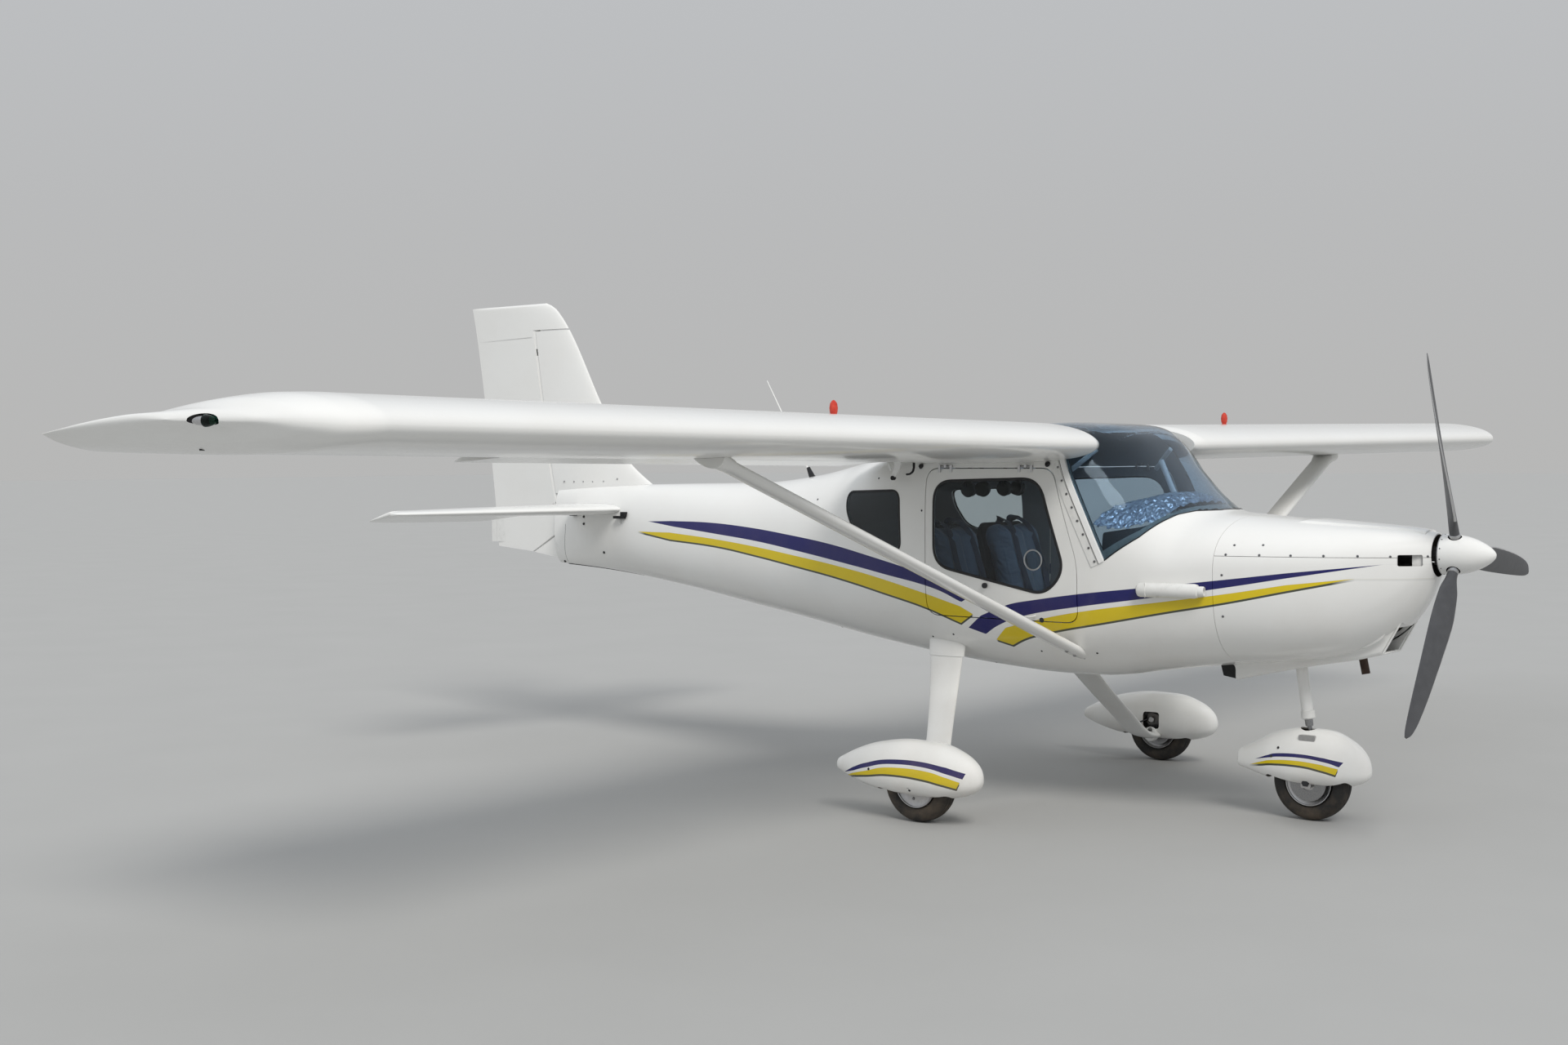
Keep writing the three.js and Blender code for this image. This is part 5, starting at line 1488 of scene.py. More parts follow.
def pant_body(dims, x, y, inset=0.0, name="tool", material=GELCOAT, blunt=0.14):
    table = [(bow(at), *row) for at, *row in PANT_SHAPE]
    table[0], table[-1] = (math.pi / 2, 0, 0, 0), (-math.pi / 2, blunt, blunt, blunt)
    at = np.concatenate([-1 + np.linspace(0, 1, 9)[:-1] ** 2 * 0.06, np.linspace(-0.94, 0, 34)[:-1],
                         np.sin(np.linspace(0, 0.4999, 34) * math.pi)])
    rows = smoothed(monotone([bow(place) for place in at], table), 3)
    rows[:, 1:] *= np.sqrt(np.clip((at + 1) / 0.03, 0.03, 1))[:, None]
    rings = []
    for place, (_, below, above, wide) in zip(at, rows):
        reach = dims["front"] if place > 0 else dims["rear"]
        flat = superellipse(max(1.5, wide * dims["half"] - inset), max(1.5, below * dims["below"] - inset),
                            max(1.5, above * dims["above"] - inset), 2.4, 2.2, 84)
        rings.append([(x + place * (reach - inset), y + v, dims["level"] + w) for v, w in flat])
    return solid(name, *loft(rings), material)


def pant_shell(name, dims, x, y, paint, blunt=0.14):
    well, level = 66.0, dims["level"]
    mouth = prism([(x - 190, y - well), (x + 185, y - well), (x + 185, y + well), (x - 190, y + well)], 0,
                  level - 20, 30, RAW, place=from_above)
    return cut(pant_body(dims, x, y, 0, name, paint, blunt),
               pant_body(dims, x, y, PANT_WALL, material=RAW, blunt=blunt), mouth)


def pant_side(dims, x, z):
    """How far a pant's side stands from its middle at a place in side view."""
    reach = dims["front"] if x > 0 else dims["rear"]
    _, below, above, wide = monotone([bow(x / reach)], [(bow(at), *row) for at, *row in PANT_SHAPE])[0]
    off = z - dims["level"]
    share = bulge(off / (below * dims["below"]), 2.4) if off < 0 else bulge(off / (above * dims["above"]),
                                                                            2.2)
    return wide * dims["half"] * share


# %% [markdown]
# Legs, wheels and brakes. The main legs are tapered blades of laminate that curve down and out, and
# the blade ends inside the pant in a stub axle. A tyre follows a rule, so Geometry Nodes make it from its
# sizes: a grid rolled up twice, its section a superellipse with grooves pressed in by a cosine, so they
# run true. The hub has a rim, a web with six bolts, and a brake disc with its caliper behind a window.

# %% Legs and wheels
MAIN_LEG = [(380, 757, -312, 196, 34), (436, 687, -281, 186, 34), (520, 581, -234, 165, 32),
            (600, 481, -190, 148, 32), (680, 382, -148, 136, 32), (752, 299, -110, 130, 32),
            (820, 222, -74, 128, 32), (880, 153, -43, 126, 34), (912, 138, -22, 118, 38),
            (952, 136, -8, 104, 40)]
BRAKE_WINDOW = [(-48, 168), (42, 168), (42, 250), (-48, 250)]


def leg_blank(name, s, grow=0.0):
    marks = np.array(MAIN_LEG, float) + (0, 0, 0, grow * 2, grow)
    run = np.concatenate([[0], np.cumsum(np.hypot(*np.diff(marks[:, :2], axis=0).T))])
    rows = monotone(np.linspace(0, run[-1], 46), np.column_stack([run, marks]))
    rows = smoothed(rows, 3)[:, 1:]
    ahead = np.gradient(rows[:, :2], axis=0)
    ahead /= np.linalg.norm(ahead, axis=1)[:, None]
    across, over = (np.sign(wave) * np.abs(wave) ** (2 / 2.2) / 2 for wave in
                    (np.cos(circle(48)), np.sin(circle(48))))
    rings = [[(x + f, s * (y - dz * o), z + dy * o) for f, o in zip(across * chord, over * thick)]
             for (y, z, x, chord, thick), (dy, dz) in zip(rows, ahead)]
    return solid(name, *loft(rings), GELCOAT)


def tyre_tree():
    """A ring whose section is a superellipse, with grooves pressed into its crown."""
    tree, given, out = new_group(
        "Tyre", "GeometryNodeTree",
        {"Rim": 0.097, "Outside": 0.162, "Half width": 0.051, "Groove spacing": 0.019,
         "Groove depth": 0.0045, "Rubber": "Material"}, ["Geometry"])
    grid = put(tree, "GeometryNodeMeshGrid",
               {"Size X": 1.0, "Size Y": 1.0, "Vertices X": 113, "Vertices Y": 145})
    place = xyz(put(tree, "GeometryNodeInputPosition"))
    around, section = place[0] * (2 * math.pi), place[1] * (2 * math.pi)

    def squared(operation, power):
        wave = maths(operation, section)
        return maths("POWER", maths("ABSOLUTE", wave), power) * maths("SIGN", wave)

    across, rise = squared("COSINE", 0.72) * given["Half width"], squared("SINE", 0.78)
    turns = maths("DIVIDE", across, given["Groove spacing"])
    groove = ((maths("COSINE", turns * (2 * math.pi)) > 0.8) * (maths("ABSOLUTE", turns) < 1.5)
              * (rise > 0.5))
    tall, middle = (given["Outside"] - given["Rim"]) * 0.5, (given["Outside"] + given["Rim"]) * 0.5
    radius = maths("MULTIPLY_ADD", rise, tall, middle) - groove * given["Groove depth"]
    spot = put(tree, "ShaderNodeCombineXYZ", {0: radius * maths("COSINE", around), 1: across,
                                              2: radius * maths("SINE", around)})
    moved = put(tree, "GeometryNodeSetPosition", {"Geometry": grid, "Position": spot})
    closed = put(tree, "GeometryNodeMergeByDistance", {"Geometry": moved, "Distance": 0.00002})
    real = put(tree, "GeometryNodeRealizeInstances", {"Geometry": closed})
    fill(out, {"Geometry": coated(real, given["Rubber"])})
    return tree


TYRE_TREE = tyre_tree()


def tube_of(profile, centre, material, name, sides=64, axis=(0, 1, 0)):
    """A closed profile of (along, radius) turned into a ring."""
    axis, side, up = basis_along(axis)
    count = len(profile)
    points = [centre + axis * along + radius * (side * math.cos(a) + up * math.sin(a))
              for a in circle(sides) for along, radius in profile]
    faces = [(i * count + k, i * count + (k + 1) % count, (i + 1) % sides * count + (k + 1) % count,
              (i + 1) % sides * count + k) for i in range(sides) for k in range(count)]
    return solid(name, points, faces, material)


RIM_HALF = [(46, 14), (46, 34), (36, 42), (33, 52), (34, 78), (37, 90), (42, 98), (45, 101), (47.5, 99),
            (46, 96)]


def make_wheel(body, x, y, s, part):
    centre = (x, y, TYRE_RADIUS)
    tyre = generated(f"{part}_rubber", TYRE_TREE, {"Outside": TYRE_RADIUS / 1000, "Rubber": TYRE})
    tyre.data.transform(Matrix.Translation(metres([centre])[0]))
    face_outwards(tyre.data)
    finish(tyre, f"{part}_tyre", body=body, slot="tyre_rubber")
    rim = [(-along, radius) for along, radius in RIM_HALF[::-1]] + RIM_HALF + [(44, 95.5), (-44, 95.5)]
    finish(tube_of(rim, centre, ALLOY, f"{part}_rim", 72), f"{part}_hub", body=body)
    spots = [((x + 66 * math.cos(angle), y + face * 33.4, TYRE_RADIUS + 66 * math.sin(angle)),
              (0, face, 0)) for face in (1, -1) for angle in np.arange(6) * math.pi / 3 + 0.3]
    screws(f"{part}_bolts", spots, 6.5, 5, recess=0.2, body=body)
    disc = [(-s * 50, 34), (-s * 50, 80), (-s * 47.5, 80), (-s * 47.5, 34)]
    finish(tube_of(disc, centre, STEEL, f"{part}_brake_disc"), body=body)
    finish(turned([(0, 20), (6, 19), (9, 14), (10, 0)], (x, y + s * 46, TYRE_RADIUS), (0, s, 0), DARK,
                  f"{part}_hub_cap", 32), body=body)


def make_main_gear(name, s):
    y = s * TRACK_HALF
    pant = pant_shell(f"{name}_pant_shell", MAIN_PANT, 0, y, PANT_PAINT[name])
    cut(pant, rod((0, s * 900, TYRE_RADIUS), (0, y - s * 60, TYRE_RADIUS), 16, material=RAW),
        prism(BRAKE_WINDOW, s * 900, y - s * 60, 18, RAW))
    finish(pant, f"{name}_wheel_pant")
    inside = pant_body(MAIN_PANT, 0, y, -0.3)
    leg = cut(leg_blank(f"{name}_leg_blade", s), flesh(-800, 200), copied(inside, "tool"))
    finish(leg, f"{name}_main_leg")
    collar = keep(leg_blank(f"{name}_leg_collar", s, 6),
                  block(-600, 100, s * 300, s * 520, 636, 800, GELCOAT))
    finish(cut(collar, hull("tool", -800, 200, 0, 14)))
    axle = rod((0, s * 922, TYRE_RADIUS), (0, s * (TRACK_HALF + 96), TYRE_RADIUS), 12, 12, STEEL)
    caliper = prism([(-36, 182), (26, 188), (30, 232), (-8, 244), (-38, 236)], s * 962, s * 988, 9, CAST)
    piston = turned([(0, 15), (14, 15), (17, 12), (17, 0)], (-8, s * 962, 210), (0, -s, 0), ALLOY, sides=32)
    bracket = prism([(-16, 140), (24, 140), (22, 200), (-14, 200)], s * 966, s * 978, 6, DARK)
    boss = turned([(0, 36), (14, 38), (30, 34), (34, 24), (34, 0)], (-4, s * 956, 140), (0, -s, 0), GELCOAT)
    finish(join(f"{name}_axle_and_brake", axle, caliper, piston, bracket, cut(boss, inside)))
    inner = [((x, s * 921, z), (0, -s, 0)) for x, z in ((-20, 152), (12, 152), (12, 126), (-20, 126))]
    screws(f"{name}_axle_bolts", inner, 5, 5, recess=0.2)
    outer = [((x, y + s * pant_side(MAIN_PANT, x, z), z), facing) for x, z, facing in
             ((5, 142, (0, s, -0.25)), (-210, 210, (-0.1, s, 0)))]
    screws(f"{name}_pant_screw", outer, 6, 2.5, DARK, 0.5)
    hose = [(-112, s * 838, 236), (-104, s * 868, 202), (-84, s * 905, 188), (-40, s * 938, 206),
            (-20, s * 968, 216)]
    finish(swept(smooth_path(hose, 32), 3.5, DARK, f"{name}_brake_hose", 10))
    make_wheel(f"{name}_main_wheel", 0, y, s, f"{name}_wheel")


def smooth_path(places, count):
    """Points on a smooth curve through a few places."""
    at = np.linspace(0, len(places) - 1, count)
    return monotone(at, [(i, *place) for i, place in enumerate(places)])[:, 1:]


for side in SIDES:
    make_main_gear(*side)


# %% Nose gear
def make_nose_gear():
    pivot, top, x = np.array(NOSE_PIVOT, float), np.array(NOSE_LEG_TOP, float), NOSE_WHEEL_X
    up = unit(top - pivot)
    leg = turned([(50, 23), (52, 24.4), (480, 24.4)], pivot, up, GELCOAT, "nose_leg_tube")
    cut(leg, rod(pivot + up * 460, pivot + up * 520, 40))
    pin = turned([(-24, 10), (20, 10), (21, 16), (50, 17)], pivot, up, STEEL, sides=32)
    collar = turned([(52, 24), (54, 29), (84, 29), (87, 24.5)], pivot, up, PLAIN_WHITE, sides=40)
    finish(join("nose_leg_assembly", leg, pin, collar, block(FIREWALL_X, 1225, -20, 20, 780, 820, DARK)),
           "nose_leg")
    pant = pant_shell("nose_pant_shell", NOSE_PANT, x, 0, NOSE_PANT_PAINT, 0.26)
    cut(pant, rod(pivot - up * 60, pivot + up * 120, 36.5, material=RAW))
    finish(pant, "nose_pant", body="nose_steering")
    crown = prism([(x - 32, 338), (x + 40, 338), (x + 40, 362), (x - 32, 362)], -72, 72, 8, ALLOY)
    cut(crown, rod(pivot - up * 60, pivot + up * 40, 10.8, material=ALLOY))
    blades = [prism([(x - 22, 140), (x + 22, 140), (x + 24, 360), (x - 24, 360)], s * 62, s * 71, 9, ALLOY)
              for _, s in SIDES]
    axle = rod((x, -78, TYRE_RADIUS), (x, 78, TYRE_RADIUS), 12, 12, STEEL)
    nuts = [rod((x, s * 70, TYRE_RADIUS), (x, s * 80, TYRE_RADIUS), 17, 15, DARK, sides=6) for _, s in SIDES]
    finish(join("nose_fork_frame", crown, *blades, axle, *nuts), "nose_fork", body="nose_steering")
    spots = [((x + off, s * pant_side(NOSE_PANT, off, z), z), (0, s, 0.3 if z > 222 else -0.3))
             for _, s in SIDES for off, z in ((-120, 300), (-150, 262), (10, 158))]
    screws("nose_pant_screws", spots, 6, 2.5, DARK, 0.5, "nose_steering")
    make_wheel("nose_wheel", x, 0, 1, "nose_wheel")


make_nose_gear()

# %% [markdown]
# Propeller and spinner. The blades are dark composite with a worn bright strip along the leading edge;
# the strip is a mask in the material, by distance ahead of the blade's own line, carried as an
# attribute from the loft. Each blade is lofted with round roots in clamps on an alloy hub, and the
# spinner is turned, with a hole cut for each blade.

# %% Propeller
PROP_X, PROP_Z = 1880.0, 1130.0
BLADE_ANGLES = (113.3, 233.3, 353.3)
SPINNER_BASE_X, SPINNER_RADIUS = 1824.0, 82.0
BLADE = [(40, 40, 40, 45, 0), (100, 42, 38, 42, 0), (180, 84, 26, 36, 4), (330, 112, 18, 28, 10),
         (560, 100, 13, 20, 8), (740, 76, 9, 16, 2), (820, 48, 6, 14, -6), (850, 14, 3, 14, -14)]


def blade_material():
    material, shader, place = new_material("dark_composite_blade", "carbon_blade")
    noise = clouds(place, 26.0, 6.0)
    edge = put(place.tree, "ShaderNodeAttribute", out="Fac", attribute_name="ahead")
    worn = between(noise * 0.1 + edge, 0.93, 0.985)
    colour = mix(noise, (0.045, 0.046, 0.05), (0.085, 0.087, 0.093))
    fill(shader, {"Base Color": mix(worn, colour, (0.55, 0.55, 0.55)), "Roughness": noise * 0.25 + 0.28,
                  "Metallic": worn * 0.6})
    bump(shader, noise, 0.0003, 0.3)
    return material


def outward(angle):
    """The direction square to the shaft at an angle in degrees."""
    return np.array((0, math.cos(math.radians(angle)), math.sin(math.radians(angle))))


def blade_body(name, angle, material):
    out, across = outward(angle), outward(angle + 90)
    fade = np.abs(np.cos(circle(40))) ** 1.3 * np.sign(np.cos(circle(40)))
    rings, marks = [], []
    radii = np.concatenate([np.linspace(40, 830, 60), np.linspace(834, 849.9, 8)])
    for radius, chord, thick, twist, sweep in monotone(radii, BLADE):
        pitch = math.radians(twist)
        wide, deep = chord / 2 * np.cos(circle(40)) + sweep, thick / 2 * np.sin(circle(40))
        flat = wide * math.cos(pitch) + deep * math.sin(pitch)
        fore = wide * math.sin(pitch) - deep * math.cos(pitch)
        rings.append([np.array((PROP_X + f, 0, PROP_Z)) + out * radius + across * p
                      for f, p in zip(fore, flat)])
        marks += (fade * (radius > 150)).tolist()
    blade = solid(name, *loft(rings), material)
    layer = blade.data.attributes.new("ahead", "FLOAT", "POINT")
    layer.data.foreach_set("value", marks)
    return blade


def make_propeller():
    material, shaft = blade_material(), (1, 0, 0)
    centre, base = np.array((PROP_X, 0, PROP_Z)), np.array((SPINNER_BASE_X, 0, PROP_Z))
    for i, angle in enumerate(BLADE_ANGLES):
        finish(blade_body(f"blade_{i}", angle, material), *(["propeller"] if i == 0 else []),
               body="propeller", degrees=40)
    disc = turned([(0, 20), (0, 80), (1.2, SPINNER_RADIUS), (4.7, SPINNER_RADIUS), (4.7, 20)], base, shaft,
                  ALLOY, sides=96)
    hub = turned([(0, 48), (86, 48), (92, 42), (94, 30), (94, 0)], base, shaft, DARK)
    cuffs = [turned([(30, 24), (66, 24), (70, 22), (88, 22), (90, 20)], centre, outward(angle), ALLOY,
                    sides=40) for angle in BLADE_ANGLES]
    finish(join("propeller_hub", disc, hub, *cuffs), body="propeller")
    outline = [(5, SPINNER_RADIUS), (30, 81.4), (56, 79.6), (82, 76), (106, 70.6), (130, 62.4), (156, 50.5),
               (178, 37.5), (194, 25), (204, 14), (208.6, 5), (209, 0)]
    run = monotone(np.linspace(5, 209, 70), outline)
    profile = [*run, (203, 0), *((a, r - 5) for a, r in run[::-1] if r > 9)]
    spinner = turned([(a, max(r, 0.05)) for a, r in profile], base, shaft, GELCOAT, "spinner_shell", 96)
    cut(spinner, *(rod(centre + outward(angle) * 40, centre + outward(angle) * 120, 27, material=DARK)
                   for angle in BLADE_ANGLES))
    finish(spinner, "spinner", body="propeller", degrees=40)
    outs = [np.array((0, math.cos(angle), math.sin(angle))) for angle in np.arange(12) * math.pi / 6 + 0.2]
    screws("spinner_screws", [(base + (12, 0, 0) + out * 81.9, out) for out in outs], 3.2, 1.2,
           body="propeller")


make_propeller()

# %% [markdown]
# The cabin shows through the glass. The seat pads are real soft goods: each starts as a bevelled foam
# block, a little too small, is remeshed evenly, and is blown up with Blender's Cloth, which crowns the
# faces and pulls the sides in between the corners. The sewn channels are pressed in afterwards and the
# stitches follow them. Both seats are the same, so each pad is simulated once and copied.

# %% Seat cloth
def weave_group():
    tree, given, out = new_group("Woven cloth", "ShaderNodeTree", {"Position": "Vector", "Threads": 900.0},
                                 ("Light", "Height"))
    x, y, z = xyz(given["Position"])
    across, up = (maths("SINE", way * given["Threads"]) for way in (y, x + z))
    height = across * up * 0.5 + 0.5
    fill(out, {"Light": clouds(given["Position"], 38.0, 5.0) * 0.85 + height * 0.15, "Height": height})
    return tree


WEAVE = weave_group()


def cloth_material(name, one, other, threads=2200.0, sheen=0.4):
    material, shader, place = new_material(name, "seat_cloth")
    woven = use(WEAVE, place, Threads=threads)
    fill(shader, {"Base Color": mix(woven["Light"], one, other), "Roughness": woven["Light"] * 0.15 + 0.8,
                  "Sheen Weight": sheen})
    bump(shader, woven["Height"], 0.0004, 0.25)
    return material


SEAT_CLOTH = cloth_material("seat_cloth", (0.13, 0.18, 0.27), (0.2, 0.265, 0.36))
THREAD = cloth_material("seat_thread", (0.25, 0.27, 0.3), (0.36, 0.38, 0.4), 3000.0, 0.1)
WEBBING = cloth_material("harness_webbing", (0.035, 0.045, 0.075), (0.06, 0.075, 0.11), 3000.0, 0.2)

# %% Padded seat parts
SEAT_Y, SEAT_HALF = 265.0, 188.0
SEAT_BASE = [(-222, 672), (118, 672), (124, 770), (40, 774), (-205, 742)]
SEAT_BACK = [(-236, 770), (-361, 1222), (-432, 1212), (-436, 1150), (-330, 760)]


def rounded_front(y, half, material):
    """The seat's outline seen from ahead: the tool that rounds its shoulders."""
    return prism([(y - half, 400), (y + half, 400), (y + half, 1222), (y - half, 1222)], -600, 300, 85,
                 material, place=lambda across, z, x: (x, across, z))


def bevelled(obj, width, segments):
    bevel = obj.modifiers.new("bevel", "BEVEL")
    bevel.width, bevel.segments, bevel.limit_method = width, segments, "ANGLE"
    return obj


PAD_HALF = SEAT_HALF - 14


def foam(name, outline):
    pad = prism(outline, -PAD_HALF, PAD_HALF, 34, SEAT_CLOTH, name)
    bevelled(keep(pad, rounded_front(0, PAD_HALF, SEAT_CLOTH)), 0.022, 4)
    remesh = pad.modifiers.new("remesh", "REMESH")
    remesh.mode, remesh.voxel_size = "VOXEL", 0.006
    return baked(pad)


def places_of(pad):
    return np.array([vertex.co[:] for vertex in pad.data.vertices])


def inflated(pad, cap=0.024):
    """The pad blown up by cloth pressure, no point moving further than the cap."""
    before = places_of(pad)
    settings = pad.modifiers.new("pressure", "CLOTH").settings
    settings.use_pressure = True
    settings.uniform_pressure_force = 4.0
    settings.effector_weights.gravity = 0.0
    settings.quality = 4
    for step in range(1, 21):
        SCENE.frame_set(step)
    baked(pad)
    SCENE.frame_set(1)
    moved = places_of(pad) - before
    far = np.linalg.norm(moved, axis=1)[:, None]
    moved *= np.minimum(1, cap / np.maximum(far, 1e-9))
    pad.data.vertices.foreach_set("co", (before + moved).ravel())
    print(pad.name, "blown up by at most", round(float(far.max()) * 1000), "mm before the cap")
    return pad


def channelled(pad, depth=0.006, width=0.01):
    """Sewn channels: the points near each line sink along the surface's own normal."""
    places = places_of(pad)
    normals = np.array([vertex.normal[:] for vertex in pad.data.vertices])
    facing = np.clip(np.abs(normals[:, 0]) + normals[:, 2], 0, 1)
    for line in CHANNELS:
        sink = depth * np.exp(-((places[:, 1] - line) / width) ** 2) * facing
        places = places - normals * sink[:, None]
    pad.data.vertices.foreach_set("co", places.ravel())
    return pad


def softened(pad):
    modifier = pad.modifiers.new("subdivision", "SUBSURF")
    modifier.levels = modifier.render_levels = 1
    return baked(pad)


def stitch_tree():
    """A short thread on every point, lying along the point's own direction."""
    tree, given, out = new_group(
        "Stitches", "GeometryNodeTree",
        {"Geometry": "Geometry", "Length": 0.007, "Radius": 0.0009, "Thread": "Material"}, ["Geometry"])
    thread = put(tree, "GeometryNodeMeshCylinder", {"Vertices": 6, "Radius": given["Radius"],
                                                    "Depth": given["Length"]})
    fill(out, {"Geometry": coated(on_points(given["Geometry"], thread), given["Thread"])})
    return tree


STITCH_TREE = stitch_tree()
CHANNELS = (-0.095, 0.0, 0.095)


def stitched(pad, name, looks, first, last, y):
    """Two rows of stitches beside each channel, dropped on the pad along a view direction."""
    skin = BVHTree.FromPolygons([vertex.co[:] for vertex in pad.data.vertices],
                                [face.vertices[:] for face in pad.data.polygons])
    first, last = np.array(first), np.array(last)
    count = int(np.linalg.norm(last - first) / 0.012)
    spots = []
    for line in CHANNELS:
        for off in (-0.012, 0.012):
            hits = [skin.ray_cast(Vector(first + (last - first) * k / count + (0, line + off, 0)),
                                  Vector(looks))[0] for k in range(count)]
            row = [np.array(hit) for hit in hits if hit is not None]
            spots += [(here * 1000 - (SHIFT, 0, 0), there - here) for here, there in zip(row, row[1:])]
    finish(aside(scattered(name, STITCH_TREE, spots, {"Thread": THREAD}), y), slot="seat_cloth",
           degrees=60)


def aside(obj, y):
    """The piece moved sideways by so many millimetres."""
    obj.data.transform(Matrix.Translation((0, y / 1000, 0)))
    return obj


BASE_PAD, BACK_PAD = (softened(channelled(inflated(foam(name, outline)))) for name, outline in
                      (("seat_base_pad", SEAT_BASE), ("seat_back_pad", SEAT_BACK)))

# %% Seats and harness
SHELL_OUTLINE = [(-474, 575), (126, 575), (132, 664), (-228, 664), (-345, 748), (-446, 1216), (-460, 1214)]


SHOULDER_STRAP = [(-426, 0.5, 1168), (-440, 0.6, 1222), (-400, 0.7, 1233), (-340, 0.8, 1194),
                  (-276, 1, 1030), (-208, 0.8, 850), (-150, 0.3, 806)]
LAP_STRAP = [(-215, -190, 720), (-175, -178, 790), (-140, -90, 806), (-132, 0, 810), (-140, 90, 806),
             (-175, 178, 790), (-215, 190, 720)]


def strap(places, width, lift=(1, 0, 0.35)):
    return swept(smooth_path(places, 12 * len(places)), width / 2, WEBBING, "belt", 12, 2.4 / width,
                 lift=lift)


def make_seat(name, s):
    y = s * SEAT_Y
    for source, part in ((BASE_PAD, "base"), (BACK_PAD, "back")):
        pad = aside(copied(source, f"{name}_seat_{part}_pad"), y)
        finish(pad, *([f"{name}_seat"] if part == "base" else []), degrees=60)
    stitched(BASE_PAD, f"{name}_seat_base_stitches", (0, 0, -1), (0.80, 0, 1.0), (1.07, 0, 1.0), y)
    stitched(BACK_PAD, f"{name}_seat_back_stitches", (-1, 0, 0), (1.2, 0, 0.86), (1.2, 0, 1.19), y)
    shell = prism(SHELL_OUTLINE, y - 196, y + 196, 24, DARK, f"{name}_seat_shell")
    finish(keep(shell, in_cabin(-700, 300), rounded_front(y, 197, DARK)))
    belts = [strap([(x, y + off * share, z) for x, share, z in SHOULDER_STRAP], 44) for off in (-92, 92)]
    belts.append(strap([(x, y + off, z) for x, off, z in LAP_STRAP], 46, (0.3, 0, 1)))
    finish(join(f"{name}_harness", *belts), degrees=50)
    finish(turned([(0, 30), (10, 30), (13, 26), (15, 12), (15, 0)], (-136, y, 806), (0.25, 0, 1), ALLOY,
                  f"{name}_harness_buckle", 40))


for side in SIDES:
    make_seat(*side)
for source in (BASE_PAD, BACK_PAD):
    bpy.data.objects.remove(source)

# %% [markdown]
# Panel, console and sticks, and a foil sunshade lying over the panel under the windscreen. The
# instruments are turned bezels with a dark face and pale marks; the marks are made by the material
# from each face's own direction round its middle, which is carried in a UV map.

# %% Panel and instruments
def dial_material():
    material, shader, _ = new_material("instrument_face", MOULDED)
    place = put(material.node_tree, "ShaderNodeUVMap", uv_map="dial")
    x, y, _ = xyz(place)
    far = put(place.tree, "ShaderNodeVectorMath", {0: place}, "Value", operation="LENGTH")
    tick = maths("COSINE", maths("ARCTAN2", y, x) * 24.0) > 0.86
    hand = (maths("ABSOLUTE", y - x * 0.6) < 0.05) * (x > 0.0) * (far < 0.66)
    mark = maths("MAXIMUM", tick * ((far > 0.68) * (far < 0.86)), hand)
    fill(shader, {"Base Color": mix(mark, (0.01, 0.01, 0.011), (0.75, 0.75, 0.7)),
                  "Roughness": mark * 0.2 + 0.35})
    return material


PANEL_OUTLINE = [(560, 900), (564, 1208), (700, 1230), (780, 1256), (880, 1266), (900, 1235), (640, 1075),
                 (620, 900)]
PANEL_SLOPE = 15 / 185
DIALS = [(-330, 1010, 38), (-235, 1010, 38), (-140, 1010, 38), (-330, 930, 26), (-255, 930, 26),
         (-180, 930, 26), (140, 1010, 38), (235, 1010, 38), (330, 1010, 38), (180, 930, 26), (255, 930, 26),
         (330, 930, 26)]


def make_panel():
    panel = prism(PANEL_OUTLINE, -520, 520, 10, DARK, "instrument_panel_board")
    finish(keep(panel, in_cabin(400, 1000)), "instrument_panel")
    bezels, points, polygons, marks = [], [], [], []
    for y, z, radius in DIALS:
        x = 560 + (z - 900) * PANEL_SLOPE
        ring = [(0, -3), (0, 4), (-5, 4), (-8, 1), (-8, -2), (-3, -3)]
        bezels.append(tube_of([(along, radius + off) for along, off in ring], (x, y, z), DARK, "bezel", 40,
                              (1, 0, -PANEL_SLOPE)))
        start = len(points)
        for angle in circle(32):
            for depth in (-1.2, 1.8):
                points.append((x + depth, y + radius * math.cos(angle), z + radius * math.sin(angle)))
                marks.append((-math.cos(angle), math.sin(angle)))
        front, back = ([start + 2 * k + side for k in range(32)] for side in (0, 1))
        polygons += [front[::-1], back]
        polygons += [[front[k], front[k - 31], back[k - 31], back[k]] for k in range(32)]
    finish(join("instrument_bezels", *bezels))
    dials = solid("instrument_faces", points, polygons, dial_material())
    layer = dials.data.uv_layers.new(name="dial")
    corners = [loop.vertex_index for loop in dials.data.loops]
    layer.data.foreach_set("uv", np.array(marks)[corners].ravel())
    finish(dials)


make_panel()


